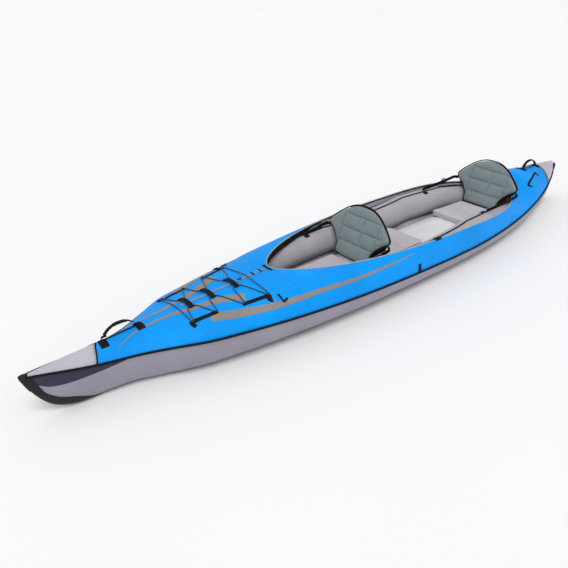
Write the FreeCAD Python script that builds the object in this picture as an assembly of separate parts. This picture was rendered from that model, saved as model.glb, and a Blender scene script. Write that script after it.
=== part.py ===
import FreeCAD, Part
import math
import os

# Inflatable tandem kayak, decked, with two folding seats.
# Frame: +X to the bow, +Y to port, +Z up, origin on the resting plane below the middle of the box.
# All lengths are millimetres.

Vector = FreeCAD.Vector
os.makedirs("parts", exist_ok=True)

# ---- Driving dimensions ------------------------------------------------------------------------
HALF_LENGTH = 2285.0
HALF_BEAM = 396.0
BOW_FULLNESS = 2.2
PINCH_START = 1350.0
PINCH_LENGTH = 450.0
BOW_PINCH = 0.36
BOW_DIP = 22.0
STERN_FULLNESS = 3.0
SHEER_LOW_X = -750.0
SHEER_LOW_Z = 140.0
SHEER_BOW_RISE = 118.0
SHEER_STERN_RISE = 88.0
STEM_START = 1900.0
FLAT_END = 1700.0
ROCKER = 5.0
ROCKER_LENGTH = 110.0
STEM_LENGTH = 375.0
BOW_STEM_RISE = 262.0
STERN_STEM_RISE = 282.0
SKIN = 2.0
SKIN_GAP = 1.2
FLAT_SHARE = 0.42
SKIN_END = 2250.0

RIM_MAX_HALF = 374.0
RIM_MAX_X = -650.0
RIM_FRONT_X = 795.0
RIM_REAR_X = -1460.0
RIM_REAR_Z = 290.0
RIM_RISE = 45.3

NOSE_RIDGE_X = 1889.0
NOSE_SEAM_X = 1935.0
TAIL_RIDGE_X = -2005.0
TAIL_SEAM_X = -1985.0
ZIP_END_X = 1400.0

UPPER_TUBE_R = 87.0
LOWER_TUBE_R = 53.0
UPPER_TUBE_Z = 207.0
TUBE_FRONT_X = 1720.0
TUBE_REAR_X = -1885.0
TUBE_TAPER_FRONT = 600.0
TUBE_TAPER_REAR = -850.0
TUBE_SIDE_GAP = 11.0

FLOOR_TOP = 145.0
FLOOR_HALF_WIDTH = 174.0
FLOOR_FRONT_X = 1370.0
FLOOR_REAR_X = -1580.0

LOWER_TUBE_SIDE_GAP = 84.0
TUBE_CLEARANCE = 9.5
TUBE_GAP = 3.0
FLOOR_LOW = 4.0
FLOOR_SIDE_ROOM = 200.0
BOW_RIB_X = 1800.0
STERN_RIB_X = -1940.0
STEM_PLATE = 3.0
GUARD_START = 1765.0
GUARD_END = 2246.0
BOW_GUARD_HEIGHT = 58.0
STERN_GUARD_HEIGHT = 34.0
GUARD_GAP = 1.3
GUARD_THICKNESS = 2.6
STEM_BAND = 14.0
FIN_LOW = 3.0
FIN_THICKNESS = 5.0
PIPING_R = 4.5
PIPING_END = 2248.0
CREST_R = 3.0
CREST_LIFT = 2.0
EDGE_TAPE_INSET = 2.6
HEM_TOP = 5.2
HEM_DEPTH = 40.0

MAIN_VALVE_X = -1330.0
FLOOR_VALVE_X = -1410.0
VALVE_ANGLE = 30.0
VALVE_FLANGE_R = 25.0
VALVE_NECK_R = 15.0
VALVE_CAP_R = 18.0
VALVE_CAP_HEIGHT = 9.0

ZIP_AFT_X = 800.0
ZIP_TAPE_WIDTH = 22.0
ZIP_TAPE_THICKNESS = 1.2

SLIDER_X = 1000.0
SLIDER_LENGTH = 16.0
SLIDER_WIDTH = 12.0
PULL_LENGTH = 24.0
PULL_WIDTH = 8.0
PULL_PIN_R = 1.0
PULL_PIN_LIFT = 9.2

STRIP_WIDTH = 18.0
STRIP_THICKNESS = 1.6
STRIPS = (((1428.0, 149.0), (1272.0, 163.0)), ((1134.0, 193.0), (962.0, 216.0)))
LOOP_R = 5.4
LOOP_CORD_R = 1.4
BUNGEE_R = 3.0
BUNGEE_GAP = 0.8
BUNGEE_TURN = 12.0
BUNGEE_LIFT = 5.0
BUNGEE_LOOP_LIFT = 8.0
BUNGEE_RIDGE_LIFT = 16.0
BUNGEE_TURNS = ((1420.0, 149.0), (1280.0, 161.0), (1125.0, 194.0), (970.0, 214.0))
PAD_CENTRES = (1362.0, 1223.0, 1064.0)
PAD_HALF = 52.0
PAD_WIDTH = 32.0
PAD_THICKNESS = 3.0
PAD_ARCH = 16.0
PAD_SLEEVE_R = 5.5
SLEEVE_TURN_R = 8.0

RING_X = 986.0
RING_Y = 256.0
RING_WIRE_R = 2.0
RING_WIDTH = 32.0
RING_STRAIGHT = 8.0
RING_TAB = 24.0
KEEPER = ((922.0, 234.0), (927.0, 289.0), (893.0, 279.0))
SIDE_TAB_X = -90.0
TAB_WIDTH = 26.0
STERN_STRAPS = (
    ((-1860.0, 75.0), (-1858.0, 119.0)),
    ((-1855.0, 82.0), (-1617.0, 172.0)),
    ((-1617.0, 172.0), (-1652.0, 190.0)),
)
RIM_LOOP_X = -285.0

BOW_HANDLE = (1856.0, 1650.0)
BOW_ARCH = 40.0
STERN_HANDLE = (-1795.0, -1985.0)
STERN_ARCH = 38.0
HANDLE_WIDTH = 24.0
HANDLE_PIN_R = 3.0
HANDLE_PIN_LIFT = 9.0
HANDLE_SLEEVE = 22.0
PATCH_HALF = 26.0

FRONT_CUSHION = ((130.0, 158.0, 145.6, 160.0), (480.0, 158.0, 145.6, 160.0))
CENTRE_CUSHION = (
    (-430.0, 122.0, 145.6, 184.0),
    (-416.0, 148.0, 145.6, 188.0),
    (-390.0, 160.0, 145.6, 188.0),
    (-20.0, 160.0, 145.6, 188.0),
)
REAR_CUSHION = ((-1222.0, 138.0, 145.6, 188.0), (-887.0, 158.0, 145.6, 188.0))
BACK_OUTLINE = (
    (0.0, -8.0),
    (120.0, -6.0),
    (140.0, 12.0),
    (143.0, 36.0),
    (152.0, 66.0),
    (180.0, 104.0),
    (228.0, 146.0),
    (250.0, 166.0),
    (254.0, 186.0),
    (240.0, 208.0),
    (204.0, 243.0),
    (152.0, 286.0),
    (100.0, 316.0),
    (50.0, 331.0),
    (0.0, 334.0),
)
BACK_MIDDLE = 180.0
BACK_HALF = 13.0
STRAP_Y = 281.0
STRAP_HIGH = 150.0
STRAP_REACH = {"front": 135.0, "rear": 330.0}
STRAP_WIDTH = 25.0
STRAP_THICKNESS = 2.0

SEAT_HINGES = {"front": 115.0, "rear": -1255.0}
SEAT_HINGE_Z = 178.0
SEAT_LEAN = 22.0


# ---- Hull form ---------------------------------------------------------------------------------
def clip(value, low=0.0, high=1.0):
    return max(low, min(high, value))


def smooth(value):
    t = clip(value)
    return t * t * (3.0 - 2.0 * t)


def pinch(x):
    """How far the bow has drawn in to its slender end: 0 behind it, 1 in it."""
    return smooth((x - PINCH_START) / PINCH_LENGTH)


def half_beam(x):
    """Half width of the boat at the sheer seam."""
    power = BOW_FULLNESS if x > 0 else STERN_FULLNESS
    beam = HALF_BEAM * (1.0 - clip(abs(x) / HALF_LENGTH) ** power)
    return beam * (1.0 - BOW_PINCH * pinch(x))


def sheer(x):
    """Height of the seam between the hull and the deck."""
    if x > SHEER_LOW_X:
        share = (x - SHEER_LOW_X) / (HALF_LENGTH - SHEER_LOW_X)
        dip = BOW_DIP * pinch(x) * smooth((HALF_LENGTH - x) / 400.0)
        return SHEER_LOW_Z + SHEER_BOW_RISE * share**1.4 - dip
    share = (SHEER_LOW_X - x) / (HALF_LENGTH + SHEER_LOW_X)
    return SHEER_LOW_Z + SHEER_STERN_RISE * share**1.6


def keel(x):
    """Height of the bottom on the centre line: flat, a slight rocker, then the two stems."""
    rocker = ROCKER * smooth((abs(x) - FLAT_END + 10.0) / ROCKER_LENGTH)
    share = clip((abs(x) - STEM_START) / STEM_LENGTH)
    if x > 0:
        return rocker + (BOW_STEM_RISE - ROCKER) * share**4
    return rocker + (STERN_STEM_RISE - ROCKER) * share**5


def crown(x):
    """Height of the deck on the centre line, fore and aft of the cockpit."""
    if x > STEM_START:
        return 283.0 - 21.0 * ((x - STEM_START) / 385.0) ** 2
    if x > 0:
        return 283.0 + 52.0 * (STEM_START - x) / 1100.0
    if x > -1680.0:
        return RIM_REAR_Z + 56.0 * smooth((RIM_REAR_X - x) / 220.0)
    if x > -STEM_START:
        return 346.0 - 21.0 * (-1680.0 - x) / 220.0
    share = (-STEM_START - x) / 385.0
    return 325.0 - 14.0 * share**2 - 30.0 * share**14


def rim_half_width(x):
    """Half width of the cockpit opening."""
    if x > RIM_MAX_X:
        share = clip((x - RIM_MAX_X) / (RIM_FRONT_X - RIM_MAX_X))
        return RIM_MAX_HALF * (1.0 - share**2.6) ** 0.62
    share = clip((RIM_MAX_X - x) / (RIM_MAX_X - RIM_REAR_X))
    return RIM_MAX_HALF * (1.0 - share**3) ** 0.6


def rim_height(x):
    return RIM_REAR_Z + RIM_RISE * clip((x + 1300.0) / 2100.0) ** 1.15


def in_cockpit(x):
    return RIM_REAR_X < x < RIM_FRONT_X


def fullness(x):
    """How square the deck's shoulders are: most before the cockpit, nearly straight at the bow."""
    if x > 800.0:
        return (0.66 - 0.36 * ((x - 800.0) / 1485.0) ** 1.3) * (1.0 - 0.7 * pinch(x))
    if x > 0:
        return 0.5 + 0.16 * x / 800.0
    return 0.5


def deck_point(x, t):
    """Port point of the deck's section: t is 0 at the sheer seam and 1 at the rim or the ridge."""
    beam = half_beam(x)
    low = sheer(x) + SKIN_GAP / 2
    inner = rim_half_width(x) if in_cockpit(x) else 0.0
    top = rim_height(x) if in_cockpit(x) else crown(x)
    full = fullness(x)
    a = (1 - t) ** 3
    b = 3 * (1 - t) ** 2 * t
    c = 3 * (1 - t) * t**2
    d = t**3
    y = (a + b) * beam + c * (inner + full * (beam - inner)) + d * inner
    z = a * low + b * (low + full * (top - low)) + (c + d) * top
    return Vector(x, y, z)


def deck_share(x, y):
    """The section's parameter t where the deck is y from the centre line."""
    low, high = 0.0, 1.0
    for _ in range(30):
        middle = (low + high) / 2
        if deck_point(x, middle).y > abs(y):
            low = middle
        else:
            high = middle
    return (low + high) / 2


def deck_height(x, y):
    return deck_point(x, deck_share(x, y)).z


def deck_normal(x, y):
    """Outward normal of the deck at a plan position."""
    step = 2.0
    along = Vector(2 * step, 0, deck_height(x + step, y) - deck_height(x - step, y))
    across = Vector(0, 2 * step, deck_height(x, y + step) - deck_height(x, y - step))
    normal = along.cross(across)
    return normal.normalize()


def on_deck(x, y, lift=0.0):
    return Vector(x, y, deck_height(x, y)) + deck_normal(x, y) * lift


def flat_share(x):
    """Share of the half beam that lies flat on the ground; it closes before the stems."""
    return FLAT_SHARE * math.sqrt(max(0.0, 1.0 - (abs(x) / FLAT_END) ** 6))


def hull_point(x, t):
    """Port point of the hull's section: t is 0 at the bottom's edge and 1 at the sheer seam."""
    beam = half_beam(x)
    inner = max(flat_share(x) * beam, 1.0)
    top = sheer(x) - SKIN_GAP / 2
    turn = math.pi / 2 * (1 - t)
    y = inner + (beam - inner) * max(math.cos(turn), 0.0) ** 0.9
    z = keel(x) + (top - keel(x)) * (1 - max(math.sin(turn), 0.0) ** 0.9)
    return Vector(x, y, z)


def hull_height(x, y):
    """Height of the hull's outside at a plan position."""
    low, high = 0.0, 1.0
    for _ in range(30):
        middle = (low + high) / 2
        if hull_point(x, middle).y < abs(y):
            low = middle
        else:
            high = middle
    return hull_point(x, low).z


# ---- Solid builders ----------------------------------------------------------------------------
def spline(points):
    curve = Part.BSplineCurve()
    curve.interpolate(points)
    return curve.toShape()


def ring_spline(points):
    curve = Part.BSplineCurve()
    curve.interpolate(points, PeriodicFlag=True)
    return curve.toShape()


def inward(points, depth):
    """The same curve moved inward by depth, in the plane across the boat."""
    moved = []
    last = len(points) - 1
    for i, point in enumerate(points):
        before = points[max(i - 1, 0)]
        after = points[min(i + 1, last)]
        dy = after.y - before.y
        dz = after.z - before.z
        size = math.hypot(dy, dz)
        moved.append(point + Vector(0, -dz, dy) * (depth / size))
    return moved


def band_wire(outer, inner):
    """A closed section: one long edge each way and a short straight edge at each end."""
    edges = [
        spline(outer),
        Part.makeLine(outer[-1], inner[-1]),
        spline(inner[::-1]),
        Part.makeLine(inner[0], outer[0]),
    ]
    return Part.Wire(edges)


def loft(wires):
    """A solid through sections, with straight sides from each to the next."""
    solid = Part.makeLoft(wires, True, True)
    if solid.Volume < 0:
        solid.reverse()
    return solid


def skin_loft(sections, depth=SKIN):
    return loft([band_wire(outer, inward(outer, depth)) for outer in sections])


def raked_skin(sections, depth=SKIN):
    """A skin whose end sections aren't flat, so that its two end faces are ruled ones."""
    wires = [band_wire(outer, inward(outer, depth)) for outer in sections]
    faces = list(Part.makeLoft(wires, False, True).Faces)
    for wire in (wires[0], wires[-1]):
        faces.append(Part.makeRuledSurface(wire.Edges[0], wire.Edges[2]))
    shell = Part.makeShell(faces)
    shell.sewShape()
    solid = Part.makeSolid(Part.Shell(shell.Faces))
    if solid.Volume < 0:
        solid.reverse()
    return solid


def mirror(shape):
    """The starboard twin of a port shape."""
    return shape.mirror(Vector(0, 0, 0), Vector(0, 1, 0))


def stations(start, end, count, ease_start=False, ease_end=False):
    """Positions from start to end, closer together at an eased end."""
    places = []
    for i in range(count):
        share = i / (count - 1)
        if ease_start and ease_end:
            share = (1 - math.cos(math.pi * share)) / 2
        elif ease_end:
            share = math.sin(math.pi / 2 * share)
        elif ease_start:
            share = 1 - math.cos(math.pi / 2 * share)
        places.append(start + (end - start) * share)
    return places


def disc_wire(centre, radius):
    circle = Part.makeCircle(radius, centre, Vector(1, 0, 0))
    return Part.Wire([circle])


def rod_loft(points, radius):
    """A round bar along points that run mostly fore and aft."""
    return loft([disc_wire(point, radius) for point in points])


def ribbon(points, normals, width, thickness, lift):
    """A strap of rectangular section that follows points, flat side along the normals."""
    wires = []
    last = len(points) - 1
    for i, point in enumerate(points):
        forward = points[min(i + 1, last)] - points[max(i - 1, 0)]
        side = normals[i].cross(forward).normalize() * (width / 2)
        low = point + normals[i] * lift
        high = point + normals[i] * (lift + thickness)
        corners = [low - side, low + side, high + side, high - side]
        wires.append(Part.makePolygon(corners + corners[:1]))
    return loft(wires)


def deck_ribbon(start, end, width, thickness, lift, count=5):
    """A strap laid on the deck from one plan position to another."""
    points = []
    normals = []
    for i in range(count):
        share = i / (count - 1)
        x = start[0] + (end[0] - start[0]) * share
        y = start[1] + (end[1] - start[1]) * share
        points.append(on_deck(x, y))
        normals.append(deck_normal(x, y))
    return ribbon(points, normals, width, thickness, lift)


def tube(start, end, outer, inner=0.0):
    """A straight bar, bored when an inner radius is given."""
    axis = end - start
    bar = Part.makeCylinder(outer, axis.Length, start, axis)
    if inner > 0:
        bar = bar.cut(Part.makeCylinder(inner, axis.Length, start, axis))
    return bar


def rounded_route(points, limits):
    """Straight runs joined by tangent arcs, each as large as its two runs or its limit allow."""
    edges = []
    radii = []
    start = points[0]
    for i in range(1, len(points) - 1):
        before = points[i - 1] - points[i]
        after = points[i + 1] - points[i]
        half_turn = (math.pi - before.getAngle(after)) / 2
        reach = 0.45 * min(before.Length, after.Length)
        radius = reach / math.tan(half_turn)
        if limits[i] and radius > limits[i]:
            radius = limits[i]
            reach = radius * math.tan(half_turn)
        radii.append(radius)
        a = points[i] + before.normalize() * reach
        c = points[i] + after.normalize() * reach
        towards = (before + after).normalize()
        middle = points[i] + towards * (radius / math.cos(half_turn) - radius)
        edges.append(Part.LineSegment(start, a).toShape())
        edges.append(Part.Arc(a, middle, c).toShape())
        start = c
    edges.append(Part.LineSegment(start, points[-1]).toShape())
    return Part.Wire(edges), radii


def sweep_round(wire, radius):
    """A round bar along a wire."""
    first = wire.Edges[0]
    start = first.valueAt(first.FirstParameter)
    direction = first.tangentAt(first.FirstParameter)
    profile = Part.Wire([Part.makeCircle(radius, start, direction)])
    return wire.makePipeShell([profile], True, False)


def export(name, *shapes):
    """Write one node, and say its size."""
    shape = shapes[0] if len(shapes) == 1 else Part.makeCompound(list(shapes))
    if not shape.isValid():
        print("INVALID", name)
    volume = sum(solid.Volume for solid in shape.Solids)
    print(f"{name}: {len(shape.Solids)} solid(s), {volume / 1000:.1f} cm3")
    if volume <= 0:
        print("NO VOLUME", name)
    shape.exportStep(f"parts/{name}.step")


# ---- Hull skin ---------------------------------------------------------------------------------
def bottom_panel():
    """The flat bottom between the two bilge seams."""
    end = FLAT_END - 12.0
    places = stations(-end, end, 41, ease_start=True, ease_end=True)
    port = [Vector(x, max(flat_share(x) * half_beam(x) - SKIN_GAP, 1.5), 0) for x in places]
    starboard = [Vector(p.x, -p.y, 0) for p in port]
    outline = [
        spline(port),
        Part.makeLine(port[-1], starboard[-1]),
        spline(starboard[::-1]),
        Part.makeLine(starboard[0], port[0]),
    ]
    return Part.Face(Part.Wire(outline)).extrude(Vector(0, 0, SKIN))


def hull_side():
    places = stations(-SKIN_END, -STEM_START, 9, ease_start=True)
    places += stations(-STEM_START, -FLAT_END, 7)[1:]
    places += stations(-FLAT_END, FLAT_END, 45, ease_start=True, ease_end=True)[1:-1]
    places += stations(FLAT_END, STEM_START, 7)[:-1]
    places += stations(STEM_START, SKIN_END, 9, ease_end=True)
    sections = [[hull_point(x, i / 10) for i in range(11)] for x in places]
    return skin_loft(sections)


def half_deck(places, gap=1.0):
    """The port half of a deck panel, from the sheer seam to the rim or to gap from the ridge."""
    sections = []
    for x in places:
        end = deck_share(x, gap) if deck_point(x, 1.0).y < gap else 1.0
        sections.append([deck_point(x, end * i / 10) for i in range(11)])
    return skin_loft(sections)


def across(x_ridge, x_seam):
    """A whole deck section, starboard seam to port seam, raked from the ridge to the seams."""
    port = []
    for i in range(9):
        t = i / 8
        port.append(deck_point(x_seam + (x_ridge - x_seam) * t, t))
    starboard = [Vector(p.x, -p.y, p.z) for p in port]
    return port[:-1] + [port[-1]] + starboard[-2::-1]


def whole_deck(ends):
    """A deck panel that spans both sides, through raked sections (x at the ridge, x at the seam)."""
    return raked_skin([across(ridge, seam) for ridge, seam in ends])


def between(first, last, count):
    """Raked sections evenly spaced from one pair of stations to another."""
    pairs = []
    for i in range(count):
        share = i / (count - 1)
        pairs.append(tuple(a + (b - a) * share for a, b in zip(first, last)))
    return pairs


def cockpit_places():
    rear = stations(RIM_MAX_X, RIM_REAR_X + 0.4, 22, ease_end=True)
    front = stations(RIM_MAX_X, RIM_FRONT_X - 0.4, 34, ease_end=True)
    return rear[:0:-1] + front


# ---- Air chambers ------------------------------------------------------------------------------
def tube_taper(x):
    """Share of the full radius: one amidships, rounding to nothing at the two ends."""
    if x > TUBE_TAPER_FRONT:
        share = (x - TUBE_TAPER_FRONT) / (TUBE_FRONT_X - TUBE_TAPER_FRONT)
    elif x < TUBE_TAPER_REAR:
        share = (TUBE_TAPER_REAR - x) / (TUBE_TAPER_REAR - TUBE_REAR_X)
    else:
        share = 0.0
    return math.sqrt(max(0.0, 1.0 - share**2.2))


def shoulder(x):
    """How square the upper tube's outer shoulder is where it fills the deck's rim."""
    return 2.0 + 1.6 * smooth((150.0 - x) / 500.0) * smooth((x + 1250.0) / 350.0)


def tube_offsets(radius, squareness=2.0):
    """Points of a tube's section about its centre, port side."""
    offsets = []
    for i in range(24):
        angle = 2 * math.pi * i / 24
        c, s = math.cos(angle), math.sin(angle)
        power = 2.0 / squareness if c > 1e-9 and s > 1e-9 else 1.0
        dy = radius * math.copysign(abs(c) ** power, c)
        dz = radius * math.copysign(abs(s) ** power, s)
        offsets.append((dy, dz))
    return offsets


def upper_tube_centre(x):
    """Centre and radius of the upper side tube, kept below the deck."""
    radius = UPPER_TUBE_R * tube_taper(x)
    y = half_beam(x) - TUBE_SIDE_GAP - radius
    z = UPPER_TUBE_Z
    for dy, dz in tube_offsets(radius + TUBE_CLEARANCE, shoulder(x)):
        if dz > 0:
            z = min(z, deck_height(x, y + dy) - dz)
    return y, z, radius


def lower_tube_centre(x):
    """Centre and radius of the lower side tube, kept above the bilge."""
    upper_y, upper_z, upper_radius = upper_tube_centre(x)
    radius = LOWER_TUBE_R * tube_taper(x)
    while True:
        y = half_beam(x) - LOWER_TUBE_SIDE_GAP * (0.4 + 0.6 * tube_taper(x)) - radius
        z = radius + TUBE_CLEARANCE
        for dy, dz in tube_offsets(radius + TUBE_CLEARANCE):
            if dz < 0:
                z = max(z, hull_height(x, y + dy) - dz)
        if math.hypot(upper_y - y, upper_z - z) > upper_radius + radius + TUBE_GAP:
            return y, z, radius
        radius *= 0.97


def tube_top(x, y):
    """Height of the upper tube's skin at a plan position over it, or of its middle beside it."""
    centre, z, radius = upper_tube_centre(x)
    power = shoulder(x) if y > centre else 2.0
    share = min(abs(y - centre) / radius, 1.0)
    return z + radius * (1.0 - share**power) ** (1.0 / power)


def tube_places():
    rear = stations(TUBE_TAPER_REAR, TUBE_REAR_X + 4.0, 14, ease_end=True)
    front = stations(TUBE_TAPER_FRONT, TUBE_FRONT_X - 4.0, 14, ease_end=True)
    return rear[::-1] + stations(TUBE_TAPER_REAR, TUBE_TAPER_FRONT, 15)[1:-1] + front


def side_tube(centre_of, squareness_of):
    wires = []
    for x in tube_places():
        y, z, radius = centre_of(x)
        offsets = tube_offsets(radius, squareness_of(x))
        points = [Vector(x, y + dy, z + dz) for dy, dz in offsets]
        wires.append(Part.Wire([ring_spline(points)]))
    return loft(wires)


def pad_section(x, half, low, high, corner):
    """A flat section with rounded corners, as a closed wire."""
    r = min(corner, (high - low) / 2 - 0.5)
    k = r * (1 - math.sqrt(0.5))
    inside = half - r
    corners = (
        ((inside, low), (half - k, low + k), (half, low + r)),
        ((half, high - r), (half - k, high - k), (inside, high)),
        ((-inside, high), (k - half, high - k), (-half, high - r)),
        ((-half, low + r), (k - half, low + k), (-inside, low)),
    )
    edges = []
    end = Vector(x, -inside, low)
    for corner_points in corners:
        start, middle, stop = (Vector(x, y, z) for y, z in corner_points)
        edges.append(Part.makeLine(end, start))
        edges.append(Part.Arc(start, middle, stop).toShape())
        end = stop
    return Part.Wire(edges)


def pad_loft(sections, corner):
    """A pad through sections (x, half width, low z, high z) with rounded long edges."""
    return loft([pad_section(x, half, low, high, corner) for x, half, low, high in sections])


def floor_half_width(x):
    return min(FLOOR_HALF_WIDTH, half_beam(x) - FLOOR_SIDE_ROOM)


def floor_chamber():
    places = stations(FLOOR_REAR_X, FLOOR_FRONT_X, 23)
    return pad_loft([(x, floor_half_width(x), FLOOR_LOW, FLOOR_TOP) for x in places], 45.0)


# ---- Frame inside the ends ---------------------------------------------------------------------
def ring_band(rails):
    """A closed hoop between four closed rails."""
    faces = []
    for i, rail in enumerate(rails):
        faces.append(Part.makeRuledSurface(rail, rails[(i + 1) % len(rails)]))
    shell = Part.makeShell(faces)
    shell.sewShape()
    solid = Part.makeSolid(Part.Shell(shell.Faces))
    if solid.Volume < 0:
        solid.reverse()
    return solid


def rib(x):
    """An aluminium hoop that follows the inside of the hull and the deck."""
    port = [hull_point(x, 0.25 + 0.7 * i / 6) for i in range(7)]
    port += [deck_point(x, 0.08 + 0.84 * i / 6) for i in range(7)]
    rails = []
    for depth, shift in ((5, -4), (5, 4), (13, 4), (13, -4)):
        side = [p + Vector(shift, 0, 0) for p in inward(port, depth)]
        ring = side + [Vector(p.x, -p.y, p.z) for p in side[::-1]]
        rails.append(ring_spline(ring))
    return ring_band(rails)


def stem_plate(start, end):
    """A thin upright plate that stiffens a stem, between the keel and the ridge."""
    low = [Vector(x, 0, keel(x) + 14.0) for x in stations(start, end, 7)]
    high = [Vector(x, 0, crown(x) - 14.0) for x in stations(start, end, 7)]
    outline = [
        spline(low),
        Part.makeLine(low[-1], high[-1]),
        spline(high[::-1]),
        Part.makeLine(high[0], low[0]),
    ]
    plate = Part.Face(Part.Wire(outline)).extrude(Vector(0, STEM_PLATE, 0))
    plate.translate(Vector(0, -STEM_PLATE / 2, 0))
    return plate


# ---- Keel guards, fin and seam piping ----------------------------------------------------------
def keel_slope(x):
    return (keel(x + 1.0) - keel(x - 1.0)) / 2.0


def stem_x(end, z):
    """Where the stem of one end (1 bow, -1 stern) passes a height."""
    low, high = STEM_START, STEM_START + STEM_LENGTH
    for _ in range(40):
        middle = (low + high) / 2
        if keel(end * middle) < z:
            low = middle
        else:
            high = middle
    return end * low


def guard_section(x):
    """A channel round the keel and part of the way up each side."""
    wanted = BOW_GUARD_HEIGHT if x > 0 else STERN_GUARD_HEIGHT
    height = min(wanted, sheer(x) - keel(x) - 16.0)
    low, high = 0.0, 1.0
    for _ in range(30):
        middle = (low + high) / 2
        if hull_point(x, middle).z - keel(x) < height:
            low = middle
        else:
            high = middle
    port = [hull_point(x, low * i / 6) for i in range(7)]
    port[0] = Vector(x, 0, port[0].z)
    stretch = math.sqrt(1 + keel_slope(x) ** 2)
    rails = []
    for gap in (GUARD_GAP, GUARD_GAP + GUARD_THICKNESS):
        moved = inward(port, -gap)
        moved = [Vector(m.x, m.y, p.z + (m.z - p.z) * stretch) for m, p in zip(moved, port)]
        moved[0] = Vector(x, 0, port[0].z - gap * stretch)
        rails.append([Vector(p.x, -p.y, p.z) for p in moved[:0:-1]] + moved)
    return band_wire(rails[1], rails[0])


def stem_band(end, top):
    """The guard's narrow upper end, bent round the tip."""
    low = keel(end * GUARD_END) - 4.0
    inner = []
    outer = []
    for i in range(9):
        z = low + (top - low) * i / 8
        edge = stem_x(end, z)
        inner.append(Vector(end * min(abs(edge), SKIN_END) + end * 1.2, 0, z))
        outer.append(Vector(edge + end * 9.0, 0, z))
    outline = [
        spline(inner),
        Part.makeLine(inner[-1], outer[-1]),
        spline(outer[::-1]),
        Part.makeLine(outer[0], inner[0]),
    ]
    band = Part.Face(Part.Wire(outline)).extrude(Vector(0, STEM_BAND, 0))
    band.translate(Vector(0, -STEM_BAND / 2, 0))
    return band


def keel_guard(end, top):
    places = stations(end * GUARD_START, end * GUARD_END, 15, ease_end=True)
    channel = loft([guard_section(x) for x in places])
    return channel.fuse(stem_band(end, top))


def tracking_fin():
    """A fixed fin below the stern, above the resting plane."""
    top = []
    for x in stations(-2030.0, -2200.0, 6):
        drop = (GUARD_GAP + GUARD_THICKNESS + 0.8) * math.sqrt(1 + keel_slope(x) ** 2)
        top.append(Vector(x, 0, keel(x) - drop))
    foot = Vector(-2150.0, 0, FIN_LOW)
    heel = Vector(-2190.0, 0, FIN_LOW + 22.0)
    edges = [
        spline(top),
        Part.makeLine(top[-1], heel),
        Part.Arc(heel, Vector(-2178.0, 0, FIN_LOW + 5.0), foot).toShape(),
        Part.makeLine(foot, top[0]),
    ]
    fin = Part.Face(Part.Wire(edges)).extrude(Vector(0, FIN_THICKNESS, 0))
    fin.translate(Vector(0, -FIN_THICKNESS / 2, 0))
    return fin


def sheer_piping():
    places = stations(-PIPING_END, PIPING_END, 75, ease_start=True, ease_end=True)
    reach = PIPING_R + 1.4
    return rod_loft([Vector(x, half_beam(x) + reach, sheer(x)) for x in places], PIPING_R)


def crest_piping():
    """The seam along the top of the upper tube."""
    points = []
    for x in stations(-1390.0, 560.0, 41):
        y, z, radius = upper_tube_centre(x)
        points.append(Vector(x, y, z + radius + CREST_R + CREST_LIFT))
    return rod_loft(points, CREST_R)


# ---- Cockpit rim -------------------------------------------------------------------------------
def rim_plan(count=15):
    """Plan points of the whole rim, port side from aft to fore, then starboard back."""
    rear = stations(RIM_MAX_X, RIM_REAR_X, count, ease_end=True)
    front = stations(RIM_MAX_X, RIM_FRONT_X, count, ease_end=True)
    port = [(x, rim_half_width(x)) for x in rear[::-1] + front[1:]]
    return port + [(x, -y) for x, y in port[-2:0:-1]]


def rim_rail(inset, drop_of):
    """A closed rail inset from the rim, below it by drop_of(x)."""
    plan = rim_plan()
    count = len(plan)
    rail = []
    for i, (x, y) in enumerate(plan):
        ax, ay = plan[i - 1]
        bx, by = plan[(i + 1) % count]
        size = math.hypot(bx - ax, by - ay)
        nx, ny = (by - ay) / size, -(bx - ax) / size
        rail.append(Vector(x + nx * inset, y + ny * inset, rim_height(x) - drop_of(x)))
    return ring_spline(rail)


def hem_drop(x):
    """Depth of the hem below the rim: it stops just above the upper tube's seam."""
    room = rim_height(x) - tube_top(x, rim_half_width(x) - 4.0)
    return clip(room - 2 * CREST_R - 3.0, HEM_TOP + 9.0, HEM_TOP + HEM_DEPTH)


def cockpit_edge_tape():
    rails = [
        rim_rail(EDGE_TAPE_INSET, lambda x: -1.5),
        rim_rail(EDGE_TAPE_INSET + 5.3, lambda x: -1.5),
        rim_rail(EDGE_TAPE_INSET + 5.3, lambda x: 4.5),
        rim_rail(EDGE_TAPE_INSET, lambda x: 4.5),
    ]
    return ring_band(rails)


def cockpit_hem():
    rails = [
        rim_rail(2.6, lambda x: HEM_TOP),
        rim_rail(4.6, lambda x: HEM_TOP),
        rim_rail(4.6, hem_drop),
        rim_rail(2.6, hem_drop),
    ]
    return ring_band(rails)


# ---- Valves ------------------------------------------------------------------------------------
def valve_frame(x):
    """Seat and outward direction of the port main valve on the tube's inner shoulder."""
    y, z, radius = upper_tube_centre(x)
    angle = math.radians(VALVE_ANGLE)
    outward = Vector(0, -math.cos(angle), math.sin(angle))
    return Vector(x, y, z) + outward * (radius - 3.0), outward


def valve_body(seat, outward):
    flange = Part.makeCylinder(VALVE_FLANGE_R, 6.0, seat, outward)
    neck = Part.makeCylinder(VALVE_NECK_R, 12.0, seat, outward)
    return flange.fuse(neck)


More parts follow.
